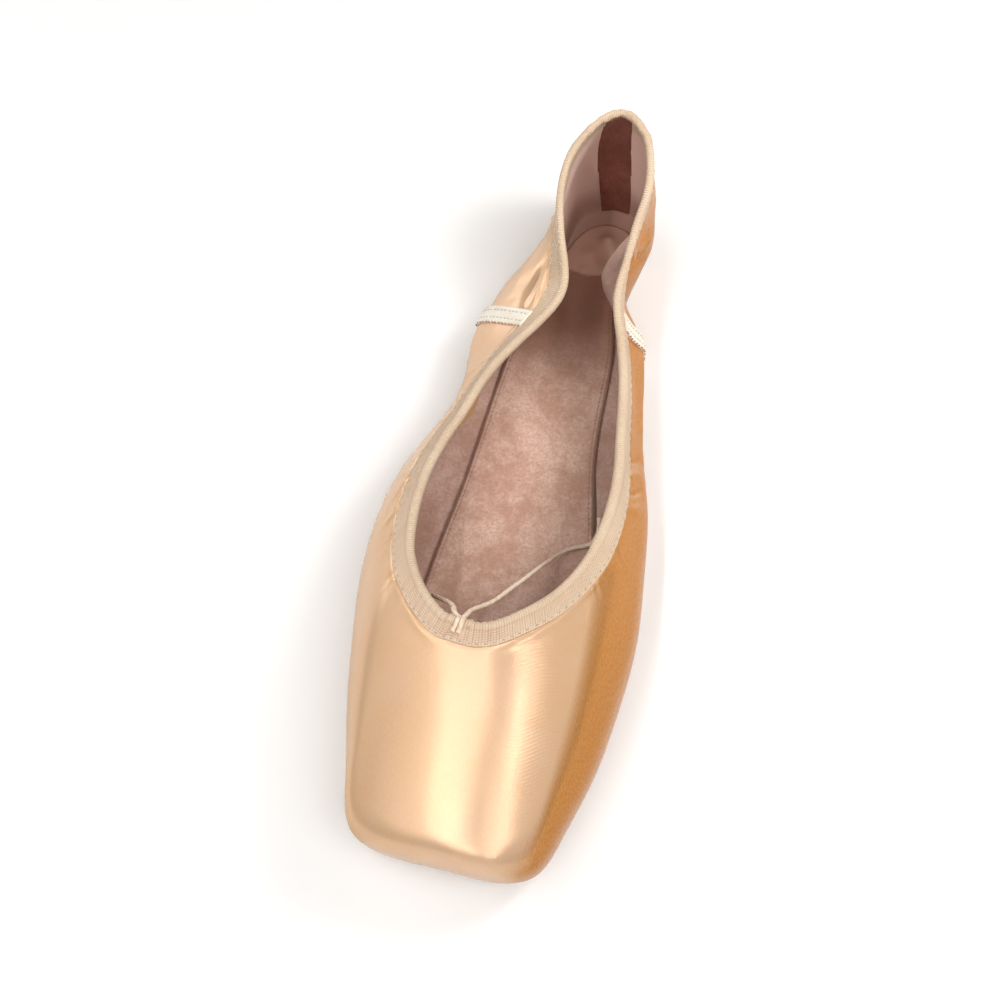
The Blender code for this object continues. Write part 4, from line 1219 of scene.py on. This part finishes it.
class Nodes:
    """A short way to build a material's nodes around its shader.

    An input gets a number, a vector, a colour, a socket to read from, or the name of a value that
    the piece has for each of its points.
    """

    def __init__(self, name, colour, roughness, **settings):
        self.material = bpy.data.materials.new(name)
        self.material.use_nodes = True
        self.tree = self.material.node_tree
        self.shader = self.tree.nodes["Principled BSDF"]
        self.colour = colour
        self.feed("Base Color", colour)
        self.feed("Roughness", roughness)
        for socket, value in settings.items():
            self.feed(socket.replace("_", " "), value)

    def give(self, node, inputs):
        for name, value in inputs.items():
            target = node.inputs[name]
            if isinstance(value, str):
                value = self.value(value)
            if isinstance(value, bpy.types.NodeSocket):
                self.tree.links.new(value, target)
            else:
                target.default_value = (*value, 1) if target.type == "RGBA" else value

    def feed(self, socket, value):
        """Give one of the shader's own sockets what it reads."""
        self.give(self.shader, {socket: value})

    def add(self, kind, inputs, **settings):
        node = self.tree.nodes.new(kind)
        for name, value in settings.items():
            setattr(node, name, value)
        self.give(node, inputs)
        return node

    def value(self, name, output="Fac"):
        return self.add("ShaderNodeAttribute", {}, attribute_name=name).outputs[output]

    def place(self, scale=(1, 1, 1), turn=0.0, uv=False):
        """Where a texture is read: in metres over the shared frame, or over the piece's UV map."""
        if uv:
            start = self.add("ShaderNodeUVMap", {}, uv_map="thread").outputs["UV"]
        else:
            start = self.add("ShaderNodeTexCoord", {}).outputs["Object"]
        inputs = {"Scale": scale, "Rotation": (0, 0, turn), "Vector": start}
        return self.add("ShaderNodeMapping", inputs).outputs["Vector"]

    def noise(self, size, detail=3.0, rough=0.55, scale=(1, 1, 1), turn=0.0, uv=False):
        """Noise from about 0.3 to 0.7 whose lumps are about size across, in metres."""
        inputs = {"Scale": 1 / size, "Detail": detail, "Roughness": rough}
        inputs["Vector"] = self.place(scale, turn, uv)
        return self.add("ShaderNodeTexNoise", inputs).outputs["Fac"]

    def waves(self, pitch, turn, distortion):
        """Straight bands across the UV map, pitch metres apart, turned from its first direction."""
        inputs = {"Scale": 2 * math.pi / pitch / 20, "Distortion": distortion}
        inputs["Vector"] = self.place(turn=turn, uv=True)
        bands = {"wave_type": "BANDS", "bands_direction": "X"}
        return self.add("ShaderNodeTexWave", inputs, **bands).outputs["Fac"]

    def ramp(self, source, low, high, low_value=0.0, high_value=1.0):
        """A source taken from low..high to the two values, and no further."""
        ends = {"From Min": low, "From Max": high, "To Min": low_value, "To Max": high_value}
        return self.add("ShaderNodeMapRange", {"Value": source, **ends}).outputs["Result"]

    def times(self, first, second):
        inputs = {0: first, 1: second}
        return self.add("ShaderNodeMath", inputs, operation="MULTIPLY").outputs["Value"]

    def mix(self, share, first, second):
        """The shader's colour, between two. The node's inputs 6 and 7 are its two colours."""
        node = self.add("ShaderNodeMix", {0: share, 6: first, 7: second}, data_type="RGBA")
        self.colour = node.outputs[2]
        self.feed("Base Color", self.colour)

    def mottle(self, first, second, size, detail=3.0, rough=0.55, low=0.35, high=0.65):
        """Two colours in lumps about size across."""
        self.mix(self.ramp(self.noise(size, detail, rough), low, high), first, second)

    def tint(self, source, low, high, share, colour):
        """Up to share of a colour over what is there, as the source goes from low to high."""
        self.mix(self.ramp(source, low, high, 0, share), self.colour, colour)

    def bump(self, height, distance, strength):
        """Relief over what is there."""
        inputs = {"Height": height, "Distance": distance, "Strength": strength}
        links = self.shader.inputs["Normal"].links
        if links:
            inputs["Normal"] = links[0].from_socket
        self.feed("Normal", self.add("ShaderNodeBump", inputs).outputs["Normal"])


def satin_material():
    """Satin, with painted shade: browner on the steeper sides and a deeper orange on the side facing the
    arch; darker in patches near the bottom.
    """
    m = Nodes("satin", (0.72, 0.46, 0.26), 0.26, Anisotropic=0.8, Metallic=0.30)
    m.feed("Specular IOR Level", m.ramp("steep_painted_shade", 0.1, 0.7, 0.35, 0.02))
    m.feed("Tangent", m.value("lengthwise", "Vector"))
    m.mottle((0.74, 0.46, 0.26), (0.75, 0.48, 0.30), 0.030, low=0.38, high=0.62)
    # Painted shade: browner on the steeper sides, and a deep orange on the side facing the arch that also
    # stands in for warm light bounced off satin
    m.tint("steep_painted_shade", 0, 1, 1, (0.59, 0.32, 0.125))
    m.tint("arch_side_painted_shade", 0, 1, 1, (0.48, 0.18, 0.022))
    # Darker in patches near the bottom
    low_patches = m.times("under", m.ramp(m.noise(0.006, 4), 0.35, 0.65))
    m.tint(low_patches, 0, 1, 0.55, (0.42, 0.29, 0.19))
    grain = m.noise(0.00045, 2, 0.6, (1, 0.35, 1), TWILL_TURN, uv=True)
    m.tint(grain, 0.40, 0.62, 0.14, (0.90, 0.66, 0.42))
    m.feed("Roughness", m.ramp(m.noise(0.010), 0.3, 0.7, 0.22, 0.25))
    m.bump(m.waves(TWILL_PITCH, TWILL_TURN, 0.6), 0.00002, 0.35)
    m.bump(grain, 0.00004, 0.35)
    return m.material


def cotton_material():
    """The binding's ribbed tape, with painted shade in its rib grooves, deeper and pinkish where the tape
    is gathered, and dark painted shade in the slit.
    """
    sheen = {"Sheen_Weight": 0.1, "Sheen_Tint": (1.0, 0.92, 0.84)}
    m = Nodes("cotton_tape", (0.80, 0.62, 0.45), 0.85, **sheen)
    m.mottle((0.68, 0.50, 0.35), (0.74, 0.57, 0.41), 0.012)
    # Painted shade in the rib grooves and the crease, deeper and pinkish where the tape is gathered
    m.tint("groove_painted_shade", 0.1, 0.9, 0.7, (0.56, 0.36, 0.25))
    gathered_groove_shade = m.times("gathered", m.ramp("groove_painted_shade", 0.1, 0.8))
    m.tint(gathered_groove_shade, 0, 1, 0.75, (0.52, 0.24, 0.18))
    rib = m.waves(WOVEN_RIB_PITCH, 0.0, 0.3)
    m.mix(m.ramp(rib, 0.0, 0.55, 0.32, 0), m.colour, (0.50, 0.34, 0.20))
    # Painted shade inside the slit
    m.tint("slit", 0.2, 1.0, 0.7, (0.24, 0.13, 0.09))
    m.bump(rib, 0.00018, 0.9)
    m.bump(m.noise(0.0005, 3, 0.7), 0.00012, 0.5)
    return m.material


def suede_material(name, dark, light):
    """Napped leather: two soft scales of mottling and a fine grain."""
    sheen = {"Sheen_Weight": 0.12, "Sheen_Roughness": 0.6, "Sheen_Tint": (0.95, 0.80, 0.74)}
    m = Nodes(name, dark, 0.95, Specular_IOR_Level=0.25, **sheen)
    m.mottle(dark, light, 0.012, 6, 0.72, 0.40, 0.60)
    fine = m.ramp(m.noise(0.0009, 4, 0.8), 0.38, 0.62)
    m.tint(fine, 0, 1, 0.55, tuple(0.72 * c for c in dark))
    m.bump(m.noise(0.0022, 4), 0.00025, 0.5)
    m.bump(m.noise(0.00035, 3, 0.7), 0.00014, 0.7)
    return m


def lining_material():
    """The lining's cloth, with painted light making it pale at the heel, painted shade low in the heel and
    painted shade along the arch.
    """
    m = suede_material("lining_cloth", (0.46, 0.275, 0.21), (0.60, 0.405, 0.335))
    # Painted light: paler at the heel, where light falls in
    m.tint("heel", 0, 1, 0.8, (0.90, 0.68, 0.59))
    # Painted shade low in the heel
    m.tint("low", 0, 1, 0.85, (0.42, 0.245, 0.185))
    m.tint("shaded", 0, 1, 0.3, (0.40, 0.24, 0.18))
    return m.material


def sock_material():
    """The insole's suede, dark at its heel end from dirt and painted shade, with a painted shadow line at
    its edge, the stitched line and the heel seat.
    """
    m = suede_material("suede", (0.51, 0.30, 0.22), (0.71, 0.48, 0.385))
    # Dirt and painted shade towards the heel end
    m.tint("heelward_dirt_and_shade", 0, 1, 0.9, (0.25, 0.12, 0.075))
    m.tint("seat", 0, 1, 0.8, (0.52, 0.32, 0.245))
    # A painted shadow line along the sock's edge
    m.tint("edge", 0.1, 1.0, 0.6, (0.16, 0.075, 0.05))
    m.tint("line", 0.1, 0.9, 0.8, (0.17, 0.08, 0.055))
    m.feed("Roughness", m.ramp("seat", 0, 1, 0.95, 0.5))
    return m.material


def tape_material():
    m = Nodes("seam_tape", (0.88, 0.80, 0.68), 0.75, Sheen_Weight=0.2)
    m.mottle((0.84, 0.74, 0.60), (0.92, 0.85, 0.74), 0.004)
    m.bump(m.noise(0.0006, 2, 0.6), 0.00012, 0.6)
    return m.material


def thread_material(name, colour):
    m = Nodes(name, colour, 0.6)
    m.mottle(colour, tuple(0.78 * c for c in colour), 0.0007, 2)
    m.bump(m.noise(0.0002, 2), 0.00005, 0.6)
    return m.material


def cord_material():
    m = Nodes("cord", (0.80, 0.64, 0.48), 0.55)
    m.mottle((0.74, 0.57, 0.41), (0.86, 0.70, 0.54), 0.0012)
    m.bump(m.noise(0.0003, 2), 0.00008, 0.7)
    return m.material


def sole_material():
    """Sole leather, rubbed grey under ball and heel, with a dark channel."""
    m = Nodes("sole_leather", (0.50, 0.36, 0.25), 0.72)
    m.mottle((0.46, 0.32, 0.22), (0.60, 0.46, 0.33), 0.02, 5)
    grey = m.times("rubbed", m.ramp(m.noise(0.004, 4, 0.7, (1, 0.3, 1)), 0.42, 0.62))
    m.tint(grey, 0, 1, 0.45, (0.34, 0.27, 0.22))
    m.tint("channel", 0.2, 0.9, 0.6, (0.22, 0.14, 0.09))
    m.feed("Roughness", m.ramp(m.noise(0.006), 0.3, 0.7, 0.62, 0.82))
    m.bump(m.noise(0.0008, 4), 0.00015, 0.5)
    return m.material


def make_camera():
    data = bpy.data.cameras.new("camera")
    data.lens = CAMERA_LENS
    data.sensor_width = SENSOR_WIDTH
    data.clip_start = 0.01
    data.clip_end = 20
    camera = link_object("camera", data)
    bpy.context.scene.camera = camera
    towards = Vector(CAMERA_TARGET) - Vector(CAMERA_PLACE)
    level = towards.to_track_quat("-Z", "Y").to_matrix().to_4x4()
    roll = Matrix.Rotation(CAMERA_ROLL, 4, "Z")
    camera.matrix_world = Matrix.Translation(CAMERA_PLACE) @ level @ roll


def make_floor():
    size = FLOOR_SIZE / 2
    mesh = bpy.data.meshes.new("floor")
    corners = [(-size, -size, 0), (size, -size, 0), (size, size, 0), (-size, size, 0)]
    mesh.from_pydata(corners, [], [(0, 1, 2, 3)])
    m = Nodes("floor", (0.93, 0.92, 0.905), 0.6, Specular_IOR_Level=0.2)
    m.mottle((0.925, 0.915, 0.90), (0.94, 0.93, 0.92), 0.4, 2, low=0.3, high=0.7)
    mesh.materials.append(m.material)
    link_object("floor", mesh)


def make_area_light(name, target, direction, away, along, size, power, shows):
    """A rectangle of light, its length along one way, shown or not shown in the gloss."""
    data = bpy.data.lights.new(name, "AREA")
    data.shape = "RECTANGLE"
    data.size, data.size_y = size
    data.energy = power
    lamp = link_object(name, data)
    lamp.visible_glossy = shows
    back = Vector(direction).normalized()
    long_way = Vector(along)
    long_way = (long_way - back * long_way.dot(back)).normalized()
    turn = Matrix((long_way.cross(back), long_way, back)).transposed()
    lamp.matrix_world = Matrix.Translation(Vector(target) + back * away) @ turn.to_4x4()


def make_sun():
    data = bpy.data.lights.new("sun", "SUN")
    data.energy = SUN_STRENGTH
    data.angle = SUN_ANGLE
    sun = link_object("sun", data)
    sun.visible_glossy = False
    sun.matrix_world = Vector(SUN_FROM).to_track_quat("Z", "Y").to_matrix().to_4x4()


def make_world():
    world = bpy.data.worlds.new("studio")
    world.use_nodes = True
    background = world.node_tree.nodes["Background"]
    background.inputs["Color"].default_value = (1.0, 0.985, 0.965, 1)
    background.inputs["Strength"].default_value = WORLD_STRENGTH
    bpy.context.scene.world = world


def main():
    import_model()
    bpy.context.scene.view_settings.view_transform = "Standard"
    make_camera()
    cord = cord_material()
    make_cord("drawstring_left", "drawstring_end_left", ROUTE_OUTER, cord)
    make_cord("drawstring_right", "drawstring_end_right", ROUTE_INNER, cord)
    strip = suede_material("heel_strip", (0.20, 0.06, 0.035), (0.30, 0.105, 0.07))
    make_satin(satin_material())
    make_lining(lining_material())
    heel_strip(HEEL_STRIP_WIDTH / 2, HEEL_STRIP_THICKNESS, strip.material)
    line, normals = make_binding(cotton_material(), cord)
    make_binding_stitches(line, normals, thread_material("binding_thread", (0.50, 0.39, 0.29)))
    tape = tape_material()
    thread = thread_material("grey_thread", (0.50, 0.49, 0.38))
    overcast = thread_material("brown_thread", (0.45, 0.20, 0.08))
    make_seam_tape("tape_left", "seam_tape_left", SEAM_OUTER, -1, tape, thread, overcast)
    make_seam_tape("tape_right", "seam_tape_right", SEAM_INNER, 1, tape, thread, overcast)
    make_insole(sock_material())
    make_outsole(sole_material())
    make_floor()
    for light in LIGHTS:
        make_area_light(*light)
    make_sun()
    make_world()
    bpy.context.view_layer.update()


main()
